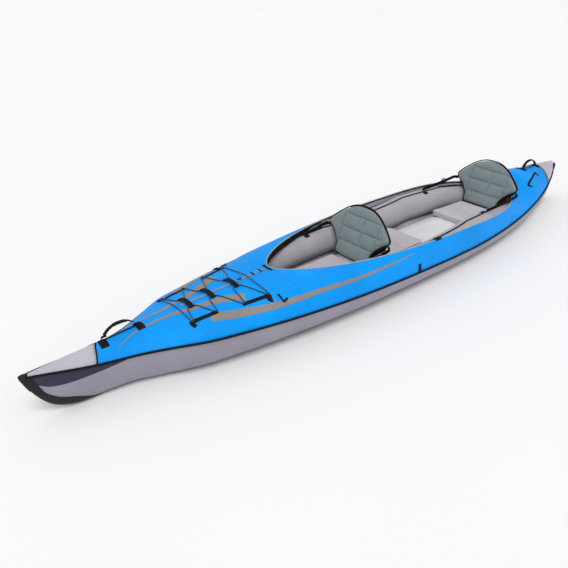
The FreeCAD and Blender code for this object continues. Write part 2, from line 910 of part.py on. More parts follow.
def valve_cap(seat, outward):
    """A round cap with finger notches; it turns on the neck below it."""
    cap = Part.makeCylinder(VALVE_CAP_R, VALVE_CAP_HEIGHT, seat + outward * 12.5, outward)
    notch = Part.makeCylinder(2.6, VALVE_CAP_HEIGHT + 2, seat + outward * 11.5, outward)
    side = outward.cross(Vector(1, 0, 0)).normalize()
    notches = []
    for i in range(6):
        angle = math.radians(60 * i)
        reach = Vector(1, 0, 0) * math.cos(angle) + side * math.sin(angle)
        cut = notch.copy()
        cut.translate(reach * (VALVE_CAP_R + 0.8))
        notches.append(cut)
    return cap.cut(Part.makeCompound(notches))


# ---- Webbing, rings and the bungee on the foredeck ---------------------------------------------
def loop_ring(centre, axis):
    """A small cord loop, round the bungee."""
    ring = Part.makeTorus(LOOP_R, LOOP_CORD_R, centre, axis)
    return ring


def bungee_strip(start, end, loop_places):
    """A webbing strip on the deck, port side, with a loop at each of its bungee turns."""
    strip = deck_ribbon(start, end, STRIP_WIDTH, STRIP_THICKNESS, 0.5)
    for x, y in loop_places:
        strip = strip.fuse(loop_ring(on_deck(x, y, BUNGEE_LOOP_LIFT), Vector(1, 0, 0)))
    return strip


def cross_pad(x):
    """A webbing pad arched over the zip, with a sleeve for the bungee at each end."""
    sleeve_centre = on_deck(x, PAD_HALF, PAD_SLEEVE_R + 0.9)
    start = Vector(x - PAD_WIDTH / 2, sleeve_centre.y, sleeve_centre.z)
    end = Vector(x + PAD_WIDTH / 2, sleeve_centre.y, sleeve_centre.z)
    sleeve = tube(start, end, PAD_SLEEVE_R, BUNGEE_R + 0.4)
    rise = crown(x) + PAD_ARCH - sleeve_centre.z
    points = []
    for i in range(9):
        y = (PAD_HALF - BUNGEE_R - 1.4) * (1 - i / 4)
        points.append(Vector(x, y, sleeve_centre.z - 1.5 + rise * (1 - (y / PAD_HALF) ** 2)))
    normals = []
    for i in range(9):
        along = points[min(i + 1, 8)] - points[max(i - 1, 0)]
        normals.append(Vector(1, 0, 0).cross(along).normalize() * -1)
    if normals[4].z < 0:
        normals = [n * -1 for n in normals]
    plate = ribbon(points, normals, PAD_WIDTH, PAD_THICKNESS, 0.0)
    return plate.fuse([sleeve, mirror(sleeve)])


def bungee_turn(x, y):
    """Route points and arc limits round one loop: the cord turns back on itself."""
    fore, aft = x + BUNGEE_TURN / 2, x - BUNGEE_TURN / 2
    lift = BUNGEE_LOOP_LIFT
    points = [on_deck(fore, y, lift), on_deck(aft, y, lift)]
    return points, [BUNGEE_TURN * 0.6] * 2


def pad_run(x):
    """Route points through a pad's sleeve, fore to aft."""
    centre = on_deck(x, PAD_HALF, PAD_SLEEVE_R + 0.9)
    reach = PAD_WIDTH / 2 + 7.0
    return [centre + Vector(reach, 0, 0), centre - Vector(reach, 0, 0)]


def bungee_half():
    """Port half of the bungee's route, from the ridge at the front to the ridge at the rear."""
    front_x = BUNGEE_TURNS[0][0] + BUNGEE_TURN / 2
    rear_x = BUNGEE_TURNS[3][0] - BUNGEE_TURN / 2
    points = [on_deck(front_x, y, lift) for y, lift in ((14, 9), (50, 6), (100, 5))]
    limits = [60.0, None, None]
    for i, (x, y) in enumerate(BUNGEE_TURNS):
        turn, limit = bungee_turn(x, y)
        points += turn
        limits += limit
        if i < 3:
            entry, leave = pad_run(PAD_CENTRES[i])
            for a, b in ((turn[1], entry), (leave, None)):
                if b is None:
                    nx, ny = BUNGEE_TURNS[i + 1]
                    b = on_deck(nx + BUNGEE_TURN / 2, ny, BUNGEE_LOOP_LIFT)
                middle = (a + b) * 0.5
                lifted = on_deck(middle.x, middle.y, BUNGEE_LIFT)
                if a is turn[1]:
                    points += [lifted, entry, leave]
                    limits += [None, SLEEVE_TURN_R, SLEEVE_TURN_R]
                else:
                    points.append(lifted)
                    limits.append(None)
    places = ((150, 5), (100, 6), (50, 11), (14, BUNGEE_RIDGE_LIFT))
    points += [on_deck(rear_x, y, lift) for y, lift in places]
    limits += [None, None, None, 60.0]
    return points, limits


def bungee_cord():
    """The closed shock cord: its joint is a hair-wide gap on the front line."""
    port, limits = bungee_half()
    starboard = [Vector(p.x, -p.y, p.z) for p in port[::-1]]
    middle = (port[0] + starboard[-1]) * 0.5
    gap = Vector(0, BUNGEE_GAP / 2, 0)
    route = [middle + gap] + port + starboard + [middle - gap]
    wire, radii = rounded_route(route, [None] + limits + limits[::-1] + [None])
    cord = sweep_round(wire, BUNGEE_R)
    expected = math.pi * BUNGEE_R**2 * wire.Length
    print(
        f"bungee: length {wire.Length:.0f}, radii {min(radii):.1f} to {max(radii):.1f}, "
        f"volume share {cord.Volume / expected:.4f}"
    )
    return cord


def ring_hinge():
    """Middle of the deck ring's straight bar, port side."""
    return on_deck(RING_X, RING_Y, RING_WIRE_R + 3.2)


def deck_ring():
    """A D-shaped wire ring that lies outboard of its bar, on the deck's slope."""
    hinge = ring_hinge()
    normal = deck_normal(RING_X, RING_Y)
    out = Vector(1, 0, 0).cross(normal).normalize()
    if out.y < 0:
        out = out * -1
    half = RING_WIDTH / 2
    a = hinge + Vector(half, 0, 0)
    b = a + out * RING_STRAIGHT
    d = hinge - Vector(half, 0, 0)
    c = d + out * RING_STRAIGHT
    tip = hinge + out * (RING_STRAIGHT + half)
    bar = tube(d, a, RING_WIRE_R)
    path = Part.Wire(
        [Part.makeLine(a, b), Part.Arc(b, tip, c).toShape(), Part.makeLine(c, d)]
    )
    balls = [Part.makeSphere(RING_WIRE_R, p) for p in (a, d)]
    return bar.fuse([sweep_round(path, RING_WIRE_R)] + balls)


def ring_tab():
    """Webbing folded round the ring's bar and sewn to the deck."""
    hinge = ring_hinge()
    sleeve = tube(
        hinge - Vector(RING_TAB / 2, 0, 0),
        hinge + Vector(RING_TAB / 2, 0, 0),
        RING_WIRE_R + 1.8,
        RING_WIRE_R + 0.4,
    )
    foot = deck_ribbon((RING_X, RING_Y - 30.0), (RING_X, RING_Y - 1.0), RING_TAB, 1.8, 0.5)
    return foot.fuse(sleeve)


def side_tab():
    """A webbing tab sewn into the seam at the deck's edge and laid up the deck."""
    points = [deck_point(SIDE_TAB_X, 0.03 + 0.2 * i / 6) for i in range(7)]
    normals = []
    for i in range(7):
        along = points[min(i + 1, 6)] - points[max(i - 1, 0)]
        normals.append(Vector(0, along.z, -along.y).normalize())
    return ribbon(points, normals, TAB_WIDTH, 2.0, 0.6)


def rim_loop():
    """A webbing loop that hangs on the inside of the rim."""
    x = RIM_LOOP_X
    y, z = rim_half_width(x) - 8.5, rim_height(x)
    start = Vector(x - 11.0, y, z + 4.0)
    ring = Part.makeTorus(9.0, 1.8, start + Vector(11.0, -6.0, 2.0), Vector(0, 1, 0.6))
    return ring


# ---- Zip slider --------------------------------------------------------------------------------
def along_zip(shape):
    """Set a shape made at the origin on the zip at the slider's place, in line with the ridge."""
    rise = crown(ZIP_END_X) - crown(ZIP_AFT_X)
    angle = math.degrees(math.atan2(rise, ZIP_END_X - ZIP_AFT_X))
    shape.rotate(Vector(0, 0, 0), Vector(0, 1, 0), -angle)
    shape.translate(on_deck(SLIDER_X, 0))
    return shape


def zip_slider():
    """A channel over the teeth, with two lugs and a pin for the pull."""
    half, length = SLIDER_WIDTH / 2, SLIDER_LENGTH
    corner = Vector(-length / 2, -half, 2.7)
    body = Part.makeBox(length, SLIDER_WIDTH, 3.7, corner)
    slot = Part.makeBox(length + 2, SLIDER_WIDTH - 4.0, 1.7, corner + Vector(-1, 2, -0.1))
    body = body.cut(slot)
    for y in (-half, half - 1.6):
        body = body.fuse(Part.makeBox(5.0, 1.6, PULL_PIN_LIFT - 4.9, Vector(-2.5, y, 6.3)))
    start = Vector(0, -half, PULL_PIN_LIFT)
    pin = tube(start, start + Vector(0, SLIDER_WIDTH, 0), PULL_PIN_R)
    return along_zip(body.fuse(pin))


def zip_pull():
    """A flat tab that turns on the slider's pin."""
    half = PULL_WIDTH / 2
    eye = tube(Vector(0, -half, PULL_PIN_LIFT), Vector(0, half, PULL_PIN_LIFT), 2.4, PULL_PIN_R + 0.3)
    tab = Part.makeBox(PULL_LENGTH - 1.8, PULL_WIDTH, 1.6, Vector(1.8, -half, PULL_PIN_LIFT - 0.8))
    return along_zip(eye.fuse(tab))


# ---- Handles -----------------------------------------------------------------------------------
def handle_axis_z(ends):
    """Height of the line on which both ends of a handle turn."""
    return max(crown(x) for x in ends) + HANDLE_PIN_LIFT


def handle_pin(x, inner):
    """Pin on a stem's ridge, held by a post at its outer end; the handle turns on it."""
    reach = HANDLE_SLEEVE + 8.0
    z = handle_axis_z((x, inner))
    toward = math.copysign(1.0, inner - x)
    start = Vector(x - toward * 3.0, 0, z)
    end = Vector(x + toward * (reach - 3.0), 0, z)
    pin = tube(start, end, HANDLE_PIN_R)
    base = Vector(min(start.x, start.x + toward * 5.0), -4.0, crown(x) + 1.4)
    post = Part.makeBox(5.0, 8.0, z - base.z, base)
    patch = deck_ribbon((x, -PATCH_HALF), (x, PATCH_HALF), 34.0, 1.6, 1.4, 9)
    return patch.fuse([post, pin])


def handle(ends, height):
    """A webbing grip arched between two sleeves that turn on the pins."""
    a, b = ends
    toward = math.copysign(1.0, b - a)
    axis_z = handle_axis_z(ends)
    pieces = []
    for x, way in ((a, toward), (b, -toward)):
        start = Vector(x + way * 3.5, 0, axis_z)
        end = Vector(x + way * (3.5 + HANDLE_SLEEVE), 0, axis_z)
        pieces.append(tube(start, end, HANDLE_PIN_R + 3.0, HANDLE_PIN_R + 0.4))
    points = []
    for i in range(13):
        share = i / 12
        x = a + (b - a) * share + toward * (3.5 + HANDLE_SLEEVE / 2) * (1 - 2 * share)
        z = axis_z + HANDLE_PIN_R + 1.2 + height * (1 - abs(2 * share - 1) ** 2.6)
        points.append(Vector(x, 0, z))
    normals = []
    for i in range(13):
        along = points[min(i + 1, 12)] - points[max(i - 1, 0)]
        normal = Vector(0, 1, 0).cross(along).normalize()
        normals.append(normal if normal.z > 0 else normal * -1)
    strap = ribbon(points, normals, HANDLE_WIDTH, 3.0, 0.0)
    return strap.fuse(pieces)


# ---- Seats -------------------------------------------------------------------------------------
def back_outline(grow=0.0):
    """Half width and height of the back's outline, port side from the bottom up, then over."""
    port = [Vector(0, half, height) for half, height in BACK_OUTLINE]
    ring = [Vector(0, -p.y, p.z) for p in port[::-1]][1:-1] + port
    count = len(ring)
    moved = []
    for i, p in enumerate(ring):
        along = ring[(i + 1) % count] - ring[i - 1]
        out = along.cross(Vector(1, 0, 0)).normalize()
        if out.dot(p - Vector(0, 0, BACK_MIDDLE)) < 0:
            out = out * -1
        moved.append(p + out * grow)
    return moved


def lean(shape, hinge_x):
    """Stand a back on its hinge line and lean it aft."""
    shape.rotate(Vector(0, 0, 0), Vector(0, 1, 0), -SEAT_LEAN)
    shape.translate(Vector(hinge_x, 0, SEAT_HINGE_Z))
    return shape


def back_layer(hinge_x, low, high, grow=0.0):
    """A flat layer of the back between two distances in front of its middle plane."""
    ring = [p + Vector(low, 0, 0) for p in back_outline(grow)]
    face = Part.Face(Part.Wire([ring_spline(ring)]))
    return lean(face.extrude(Vector(high - low, 0, 0)), hinge_x)


def back_edge(hinge_x):
    """Piping round the back's edge."""
    rails = []
    for grow, shift in ((0.5, -3.5), (6.5, -3.5), (6.5, 3.5), (0.5, 3.5)):
        rails.append(ring_spline([p + Vector(shift, 0, 0) for p in back_outline(grow)]))
    return lean(ring_band(rails), hinge_x)


def seat_strap(hinge_x, anchor_x):
    """Webbing from beside the back's shoulder forward to the tube, edge up."""
    back_x = hinge_x - STRAP_HIGH * math.sin(math.radians(SEAT_LEAN))
    start = Vector(back_x, STRAP_Y, SEAT_HINGE_Z + STRAP_HIGH * math.cos(math.radians(SEAT_LEAN)))
    end = Vector(anchor_x, STRAP_Y, tube_top(anchor_x, STRAP_Y) + STRAP_WIDTH / 2 + 5.0)
    side = Vector(0, 1, 0)
    return start, end, ribbon([start, end], [side, side], STRAP_WIDTH, STRAP_THICKNESS, 0.0)


def strap_buckle(start, end):
    """A ladder buckle on the strap, a third of the way along."""
    place = start + (end - start) * 0.36
    direction = (end - start).normalize()
    side = Vector(0, 1, 0)
    up = direction.cross(side).normalize() * -1
    if up.z < 0:
        up = up * -1

    def slab(length, height, low, high, shift):
        base = place + direction * (shift - length / 2) - up * (height / 2) + side * low
        corners = [
            base,
            base + direction * length,
            base + direction * length + up * height,
            base + up * height,
        ]
        face = Part.Face(Part.makePolygon(corners + corners[:1]))
        return face.extrude(side * (high - low))

    frame = slab(44.0, 34.0, STRAP_THICKNESS + 0.4, STRAP_THICKNESS + 4.4, 0.0)
    for shift in (-12.0, 0.0, 12.0):
        frame = frame.cut(slab(6.0, 27.0, -1.0, 12.0, shift))
    return frame


def strap_anchor(anchor_x):
    """A tab glued on the tube's inner shoulder at the strap's end."""
    points = []
    normals = []
    centre, middle, _ = upper_tube_centre(anchor_x)
    for i in range(5):
        y = centre - 34.0 + 6.5 * i
        point = Vector(anchor_x, y, tube_top(anchor_x, y))
        points.append(point)
        normals.append(Vector(0, y - centre, point.z - middle).normalize())
    return ribbon(points, normals, 40.0, 2.0, 0.6)


def both(shape):
    """A port shape and its starboard twin."""
    return shape, mirror(shape)


side_deck = half_deck(cockpit_places())
foredeck = half_deck(stations(RIM_FRONT_X + 0.4, ZIP_END_X, 13))
bow_deck = whole_deck(between((ZIP_END_X + 0.6, ZIP_END_X + 0.6), (NOSE_RIDGE_X, NOSE_SEAM_X), 17))
aft_deck = whole_deck(between((RIM_REAR_X - 0.4, RIM_REAR_X - 0.4), (TAIL_RIDGE_X, TAIL_SEAM_X), 19))
bow_nose = whole_deck(between((NOSE_RIDGE_X + 0.6, NOSE_SEAM_X + 0.6), (SKIN_END, SKIN_END), 15))
stern_nose = whole_deck(between((TAIL_RIDGE_X - 0.6, TAIL_SEAM_X - 0.6), (-SKIN_END, -SKIN_END), 9))
port_side = hull_side()

export("bottom_panel", bottom_panel())
export("port_hull_side", port_side)
export("starboard_hull_side", mirror(port_side))
export("port_side_deck", side_deck)
export("starboard_side_deck", mirror(side_deck))
export("port_foredeck", foredeck)
export("starboard_foredeck", mirror(foredeck))
export("bow_deck", bow_deck)
export("aft_deck", aft_deck)
export("bow_nose_cover", bow_nose)
export("stern_nose_cover", stern_nose)

port_upper = side_tube(upper_tube_centre, shoulder)
port_lower = side_tube(lower_tube_centre, lambda x: 2.0)
piping = sheer_piping()
crest = crest_piping()
export("port_upper_tube", port_upper)
export("starboard_upper_tube", mirror(port_upper))
export("port_lower_tube", port_lower)
export("starboard_lower_tube", mirror(port_lower))
export("floor_chamber", floor_chamber())
export("hull_ribs", rib(BOW_RIB_X), rib(STERN_RIB_X))
export("stem_plates", stem_plate(1950.0, 2190.0), stem_plate(-2190.0, -2010.0))
export("bow_keel_guard", keel_guard(1, 268.0))
export("stern_keel_guard", keel_guard(-1, 284.0))
export("tracking_fin", tracking_fin())
export("sheer_piping", piping, mirror(piping))
export("tube_crest_piping", crest, mirror(crest))
export("cockpit_edge_tape", cockpit_edge_tape())
export("cockpit_hem", cockpit_hem())

main_seat, main_out = valve_frame(MAIN_VALVE_X)
floor_seat, floor_out = Vector(FLOOR_VALVE_X, 0, FLOOR_TOP - 2.0), Vector(0, 0, 1)
main_valve = valve_body(main_seat, main_out).cut(port_upper)
floor_valve = valve_body(floor_seat, floor_out)
floor_valve = floor_valve.cut(Part.makeBox(90, 90, 2.4, floor_seat - Vector(45, 45, 0)))
main_cap = valve_cap(main_seat, main_out)
export("valve_bodies", *both(main_valve), floor_valve)
export("port_valve_cap", main_cap)
export("starboard_valve_cap", mirror(main_cap))
export("floor_valve_cap", valve_cap(floor_seat, floor_out))

zip_top = 0.5 + ZIP_TAPE_THICKNESS
zip_ends = ((ZIP_AFT_X, 0), (ZIP_END_X, 0))
teeth_ends = ((ZIP_AFT_X + 30.0, 0), (ZIP_END_X - 6.0, 0))
patch_ends = ((ZIP_AFT_X + 13.0, -55.0), (ZIP_AFT_X + 13.0, 55.0))
export("deck_zip_tape", deck_ribbon(*zip_ends, ZIP_TAPE_WIDTH, ZIP_TAPE_THICKNESS, 0.5, 9))
export("deck_zip_teeth", deck_ribbon(*teeth_ends, 5.0, 1.6, zip_top + 0.1, 9))
export("zip_end_patch", deck_ribbon(*patch_ends, 24.0, 1.5, zip_top + 0.4, 9))

export("zip_slider", zip_slider())
export("zip_pull", zip_pull())

strips = []
for (start, end), loops in zip(STRIPS, (BUNGEE_TURNS[:2], BUNGEE_TURNS[2:])):
    strips += both(bungee_strip(start, end, loops))
export("bungee_strips", *strips)
export("cross_pads", *[cross_pad(x) for x in PAD_CENTRES])
export("bungee_cord", bungee_cord())

port_tab = ring_tab()
port_ring = deck_ring()
export("deck_ring_tabs", *both(port_tab))
export("port_deck_ring", port_ring)
export("starboard_deck_ring", mirror(port_ring))
keeper = deck_ribbon(KEEPER[0], KEEPER[1], 12.0, 1.8, 0.5)
keeper = keeper.fuse(deck_ribbon(KEEPER[1], KEEPER[2], 12.0, 1.8, 0.5, 3))
export("paddle_keepers", *both(keeper))
export("side_tabs", *both(side_tab()))
stern_straps = []
for start, end in STERN_STRAPS:
    stern_straps.append(deck_ribbon(start, end, 16.0, 1.8, 1.4, 9))
stern_strap = stern_straps[1].fuse([stern_straps[0], stern_straps[2]])
export("stern_straps", *both(stern_strap))
export("rim_loops", *both(rim_loop()))

for end_name, ends, height in (("bow", BOW_HANDLE, BOW_ARCH), ("stern", STERN_HANDLE, STERN_ARCH)):
    pins = [handle_pin(ends[0], ends[1]), handle_pin(ends[1], ends[0])]
    export(end_name + "_handle_anchors", *pins)
    export(end_name + "_handle", handle(ends, height))

export("front_cushion", pad_loft(FRONT_CUSHION, 6.0))
export("centre_cushion", pad_loft(CENTRE_CUSHION, 14.0))
export("rear_cushion", pad_loft(REAR_CUSHION, 10.0))
all_straps = []
all_buckles = []
all_anchors = []
for seat, hinge_x in SEAT_HINGES.items():
    export(seat + "_back_panel", back_layer(hinge_x, -BACK_HALF, BACK_HALF))
    export(seat + "_back_shell", back_layer(hinge_x, -BACK_HALF - 6.0, -BACK_HALF - 0.5, -2.0))
    export(seat + "_back_piping", back_edge(hinge_x))
    anchor_x = hinge_x + STRAP_REACH[seat]
    start, end, strap = seat_strap(hinge_x, anchor_x)
    all_straps += both(strap)
    all_buckles += both(strap_buckle(start, end))
    all_anchors += both(strap_anchor(anchor_x))
export("seat_straps", *all_straps)
export("strap_buckles", *all_buckles)
export("strap_anchors", *all_anchors)
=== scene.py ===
"""Two-seat decked inflatable kayak: skins, air chambers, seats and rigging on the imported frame."""
import math

import bpy
from mathutils import Matrix, Vector, noise


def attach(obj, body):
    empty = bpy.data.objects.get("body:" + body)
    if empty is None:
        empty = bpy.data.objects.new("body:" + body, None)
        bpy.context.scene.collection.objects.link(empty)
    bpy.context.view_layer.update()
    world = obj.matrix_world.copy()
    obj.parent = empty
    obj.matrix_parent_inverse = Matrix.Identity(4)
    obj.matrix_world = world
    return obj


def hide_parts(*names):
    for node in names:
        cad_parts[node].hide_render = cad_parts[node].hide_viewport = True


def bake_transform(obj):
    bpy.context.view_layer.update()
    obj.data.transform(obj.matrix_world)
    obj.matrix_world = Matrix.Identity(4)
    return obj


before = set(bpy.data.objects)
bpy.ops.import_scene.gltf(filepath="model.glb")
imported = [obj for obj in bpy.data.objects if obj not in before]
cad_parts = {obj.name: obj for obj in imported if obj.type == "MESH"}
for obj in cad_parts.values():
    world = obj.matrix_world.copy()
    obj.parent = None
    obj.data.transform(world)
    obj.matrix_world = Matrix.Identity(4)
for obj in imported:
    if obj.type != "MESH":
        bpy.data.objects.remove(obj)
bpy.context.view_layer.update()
MM = 0.001

# Lengths below are in millimetres; every mesh is scaled to metres when it is made.
HALF_LENGTH = 2285.0
HALF_BEAM = 396.0
SHEER_LOW_X = -750.0
SHEER_LOW_Z = 140.0
STEM_START = 1900.0
FLAT_END = 1700.0
STEM_LENGTH = 375.0
SKIN = 2.0
SKIN_GAP = 1.2
SKIN_END = 2250.0
RIM_MAX_HALF = 374.0
RIM_MAX_X = -650.0
RIM_FRONT_X = 795.0
RIM_REAR_X = -1460.0
RIM_REAR_Z = 290.0
NOSE = (1889.0, 1935.0)
TAIL = (-2005.0, -1985.0)
ZIP_START_X = 800.0
ZIP_END_X = 1400.0
FLOOR_TOP = 145.0
SEATS = {"front": 115.0, "rear": -1255.0}
SEAT_HINGE_Z = 178.0
SEAT_LEAN = math.radians(22.0)
STRAP_HIGH = 150.0
BUNGEE_TURNS = ((1420.0, 149.0), (1280.0, 161.0), (1125.0, 194.0), (970.0, 214.0))
PAD_CENTRES = (1362.0, 1223.0, 1064.0)
BACK_OUTLINE = (
    (0, -8), (120, -6), (140, 12), (143, 36), (152, 66), (180, 104), (228, 146), (250, 166),
    (254, 186), (240, 208), (204, 243), (152, 286), (100, 316), (50, 331), (0, 334),
)
BACK_MIDDLE = 180.0
PINCH_START = 1350.0
PINCH_LENGTH = 450.0
PINCH_SHARE = 0.36
UPPER_TUBE = {"radius": 87.0, "inset": 11.0, "height": 207.0}
LOWER_TUBE = {"radius": 53.0, "inset": 84.0, "gap": 3.0}
TUBE_CLEARANCE = 9.5
TUBE_STRAIGHT = (-850.0, 600.0)
TUBE_ENDS = (-1881.0, 1716.0)
CREST_SPAN = (-1390.0, 560.0)
GUARD_GAP = 1.3
GUARD_FACE = 3.9
STEM_TIP_X = 2236.0
CORD_LIFT = 8.0
PAD_SLEEVE_Y = 52.0
PAD_SLEEVE_LIFT = 6.4
STRAP_Y = 282.0
RIM_LOOP_X = -285.0
RING_PLACE = (986.0, 256.0)
SIDE_TAB_X = -90.0
SIDE_VALVE_X = -1330.0
FLOOR_VALVE_X = -1410.0
ALONG = Vector((1, 0, 0))
UP = Vector((0, 0, 1))
SIDES = ((1, "port"), (-1, "starboard"))


# ---- Hull form ---------------------------------------------------------------------------------
def clip(value, low=0.0, high=1.0):
    return max(low, min(high, value))


def smooth(value):
    t = clip(value)
    return t * t * (3.0 - 2.0 * t)


def squared(value, power):
    """A power that keeps the value's sign, for squarish rounds."""
    return math.copysign(abs(value) ** power, value)


def pinch(x):
    """How far the bow has drawn in to its slender end: 0 behind it, 1 in it."""
    return smooth((x - PINCH_START) / PINCH_LENGTH)


def half_beam(x):
    power = 2.2 if x > 0 else 3.0
    return HALF_BEAM * (1.0 - clip(abs(x) / HALF_LENGTH) ** power) * (1.0 - PINCH_SHARE * pinch(x))


def sheer(x):
    if x > SHEER_LOW_X:
        dip = 22.0 * pinch(x) * smooth((HALF_LENGTH - x) / 400.0)
        return SHEER_LOW_Z + 118.0 * ((x - SHEER_LOW_X) / (HALF_LENGTH - SHEER_LOW_X)) ** 1.4 - dip
    return SHEER_LOW_Z + 88.0 * ((SHEER_LOW_X - x) / (HALF_LENGTH + SHEER_LOW_X)) ** 1.6


def keel(x):
    rocker = 5.0 * smooth((abs(x) - FLAT_END + 10.0) / 110.0)
    share = clip((abs(x) - STEM_START) / STEM_LENGTH)
    return rocker + (257.0 * share**4 if x > 0 else 277.0 * share**5)


def crown(x):
    if x > STEM_START:
        return 283.0 - 21.0 * ((x - STEM_START) / 385.0) ** 2
    if x > 0:
        return 283.0 + 52.0 * (STEM_START - x) / 1100.0
    if x > -1680.0:
        return RIM_REAR_Z + 56.0 * smooth((RIM_REAR_X - x) / 220.0)
    if x > -STEM_START:
        return 346.0 - 21.0 * (-1680.0 - x) / 220.0
    share = (-STEM_START - x) / 385.0
    return 325.0 - 14.0 * share**2 - 30.0 * share**14


def rim_half_width(x):
    if x > RIM_MAX_X:
        share = clip((x - RIM_MAX_X) / (RIM_FRONT_X - RIM_MAX_X))
        return RIM_MAX_HALF * (1.0 - share**2.6) ** 0.62
    share = clip((RIM_MAX_X - x) / (RIM_MAX_X - RIM_REAR_X))
    return RIM_MAX_HALF * (1.0 - share**3) ** 0.6


def rim_height(x):
    return RIM_REAR_Z + 45.3 * clip((x + 1300.0) / 2100.0) ** 1.15


def in_cockpit(x):
    return RIM_REAR_X < x < RIM_FRONT_X


def fullness(x):
    if x > 800.0:
        return (0.66 - 0.36 * ((x - 800.0) / 1485.0) ** 1.3) * (1.0 - 0.7 * pinch(x))
    return 0.5 + 0.16 * clip(x / 800.0)


def deck_point(x, t):
    """Port point of the deck: t is 0 at the sheer seam and 1 at the rim or the ridge."""
    beam = half_beam(x)
    low = sheer(x) + SKIN_GAP / 2
    inner = rim_half_width(x) if in_cockpit(x) else 0.0
    top = rim_height(x) if in_cockpit(x) else crown(x)
    full = fullness(x)
    a, b, c, d = (1 - t) ** 3, 3 * (1 - t) ** 2 * t, 3 * (1 - t) * t**2, t**3
    y = (a + b) * beam + c * (inner + full * (beam - inner)) + d * inner
    z = a * low + b * (low + full * (top - low)) + (c + d) * top
    return Vector((x, y, z))


def search(wanted, value_of, count=26):
    """Share at which a rising function reaches the wanted value."""
    low, high = 0.0, 1.0
    for _ in range(count):
        middle = (low + high) / 2
        if value_of(middle) < wanted:
            low = middle
        else:
            high = middle
    return (low + high) / 2


def deck_share(x, y):
    return search(-abs(y), lambda t: -deck_point(x, t).y)


def deck_height(x, y):
    return deck_point(x, deck_share(x, y)).z


def deck_normal(x, y):
    step = 2.0
    along = Vector((2 * step, 0, deck_height(x + step, y) - deck_height(x - step, y)))
    across = Vector((0, 2 * step, deck_height(x, y + step) - deck_height(x, y - step)))
    return along.cross(across).normalized()


def on_deck(x, y, lift=0.0):
    return Vector((x, y, deck_height(x, y))) + deck_normal(x, y) * lift


def flat_share(x):
    return 0.42 * math.sqrt(max(0.0, 1.0 - (abs(x) / FLAT_END) ** 6))


def hull_point(x, t):
    """Port point of the hull: t is 0 at the bottom's edge and 1 at the sheer seam."""
    beam = half_beam(x)
    inner = max(flat_share(x) * beam, 1.0)
    top = sheer(x) - SKIN_GAP / 2
    turn = math.pi / 2 * (1 - t)
    y = inner + (beam - inner) * max(math.cos(turn), 0.0) ** 0.9
    z = keel(x) + (top - keel(x)) * (1 - max(math.sin(turn), 0.0) ** 0.9)
    return Vector((x, y, z))


def hull_height(x, y):
    return hull_point(x, search(abs(y), lambda t: hull_point(x, t).y)).z


def tube_taper(x):
    if x > 600.0:
        share = (x - 600.0) / 1120.0
    elif x < -850.0:
        share = (-850.0 - x) / 1035.0
    else:
        share = 0.0
    return math.sqrt(max(0.0, 1.0 - share**2.2))


def shoulder(x):
    return 2.0 + 1.6 * smooth((150.0 - x) / 500.0) * smooth((x + 1250.0) / 350.0)


def tube_offsets(radius, squareness=2.0, count=24):
    """A tube's section about its centre: round, with a squarer outer shoulder."""
    offsets = []
    for i in range(count):
        angle = 2 * math.pi * i / count
        c, s = math.cos(angle), math.sin(angle)
        power = 2.0 / squareness if c > 1e-9 and s > 1e-9 else 1.0
        dy = radius * squared(c, power)
        dz = radius * squared(s, power)
        offsets.append((dy, dz))
    return offsets


def upper_tube(x):
    """Centre and radius of the upper side tube."""
    radius = UPPER_TUBE["radius"] * tube_taper(x)
    y = half_beam(x) - UPPER_TUBE["inset"] - radius
    z = UPPER_TUBE["height"]
    for dy, dz in tube_offsets(radius + TUBE_CLEARANCE, shoulder(x)):
        if dz > 0:
            z = min(z, deck_height(x, y + dy) - dz)
    return y, z, radius


def lower_tube(x):
    """Centre and radius of the lower side tube."""
    upper_y, upper_z, upper_radius = upper_tube(x)
    radius = LOWER_TUBE["radius"] * tube_taper(x)
    while True:
        y = half_beam(x) - LOWER_TUBE["inset"] * (0.4 + 0.6 * tube_taper(x)) - radius
        z = radius + TUBE_CLEARANCE
        for dy, dz in tube_offsets(radius + TUBE_CLEARANCE):
            if dz < 0:
                z = max(z, hull_height(x, y + dy) - dz)
        if math.hypot(upper_y - y, upper_z - z) > upper_radius + radius + LOWER_TUBE["gap"]:
            return y, z, radius
        radius *= 0.97


def tube_top(x, y):
    centre, z, radius = upper_tube(x)
    power = shoulder(x) if y > centre else 2.0
    share = min(abs(y - centre) / radius, 1.0)
    return z + radius * (1.0 - share**power) ** (1.0 / power)


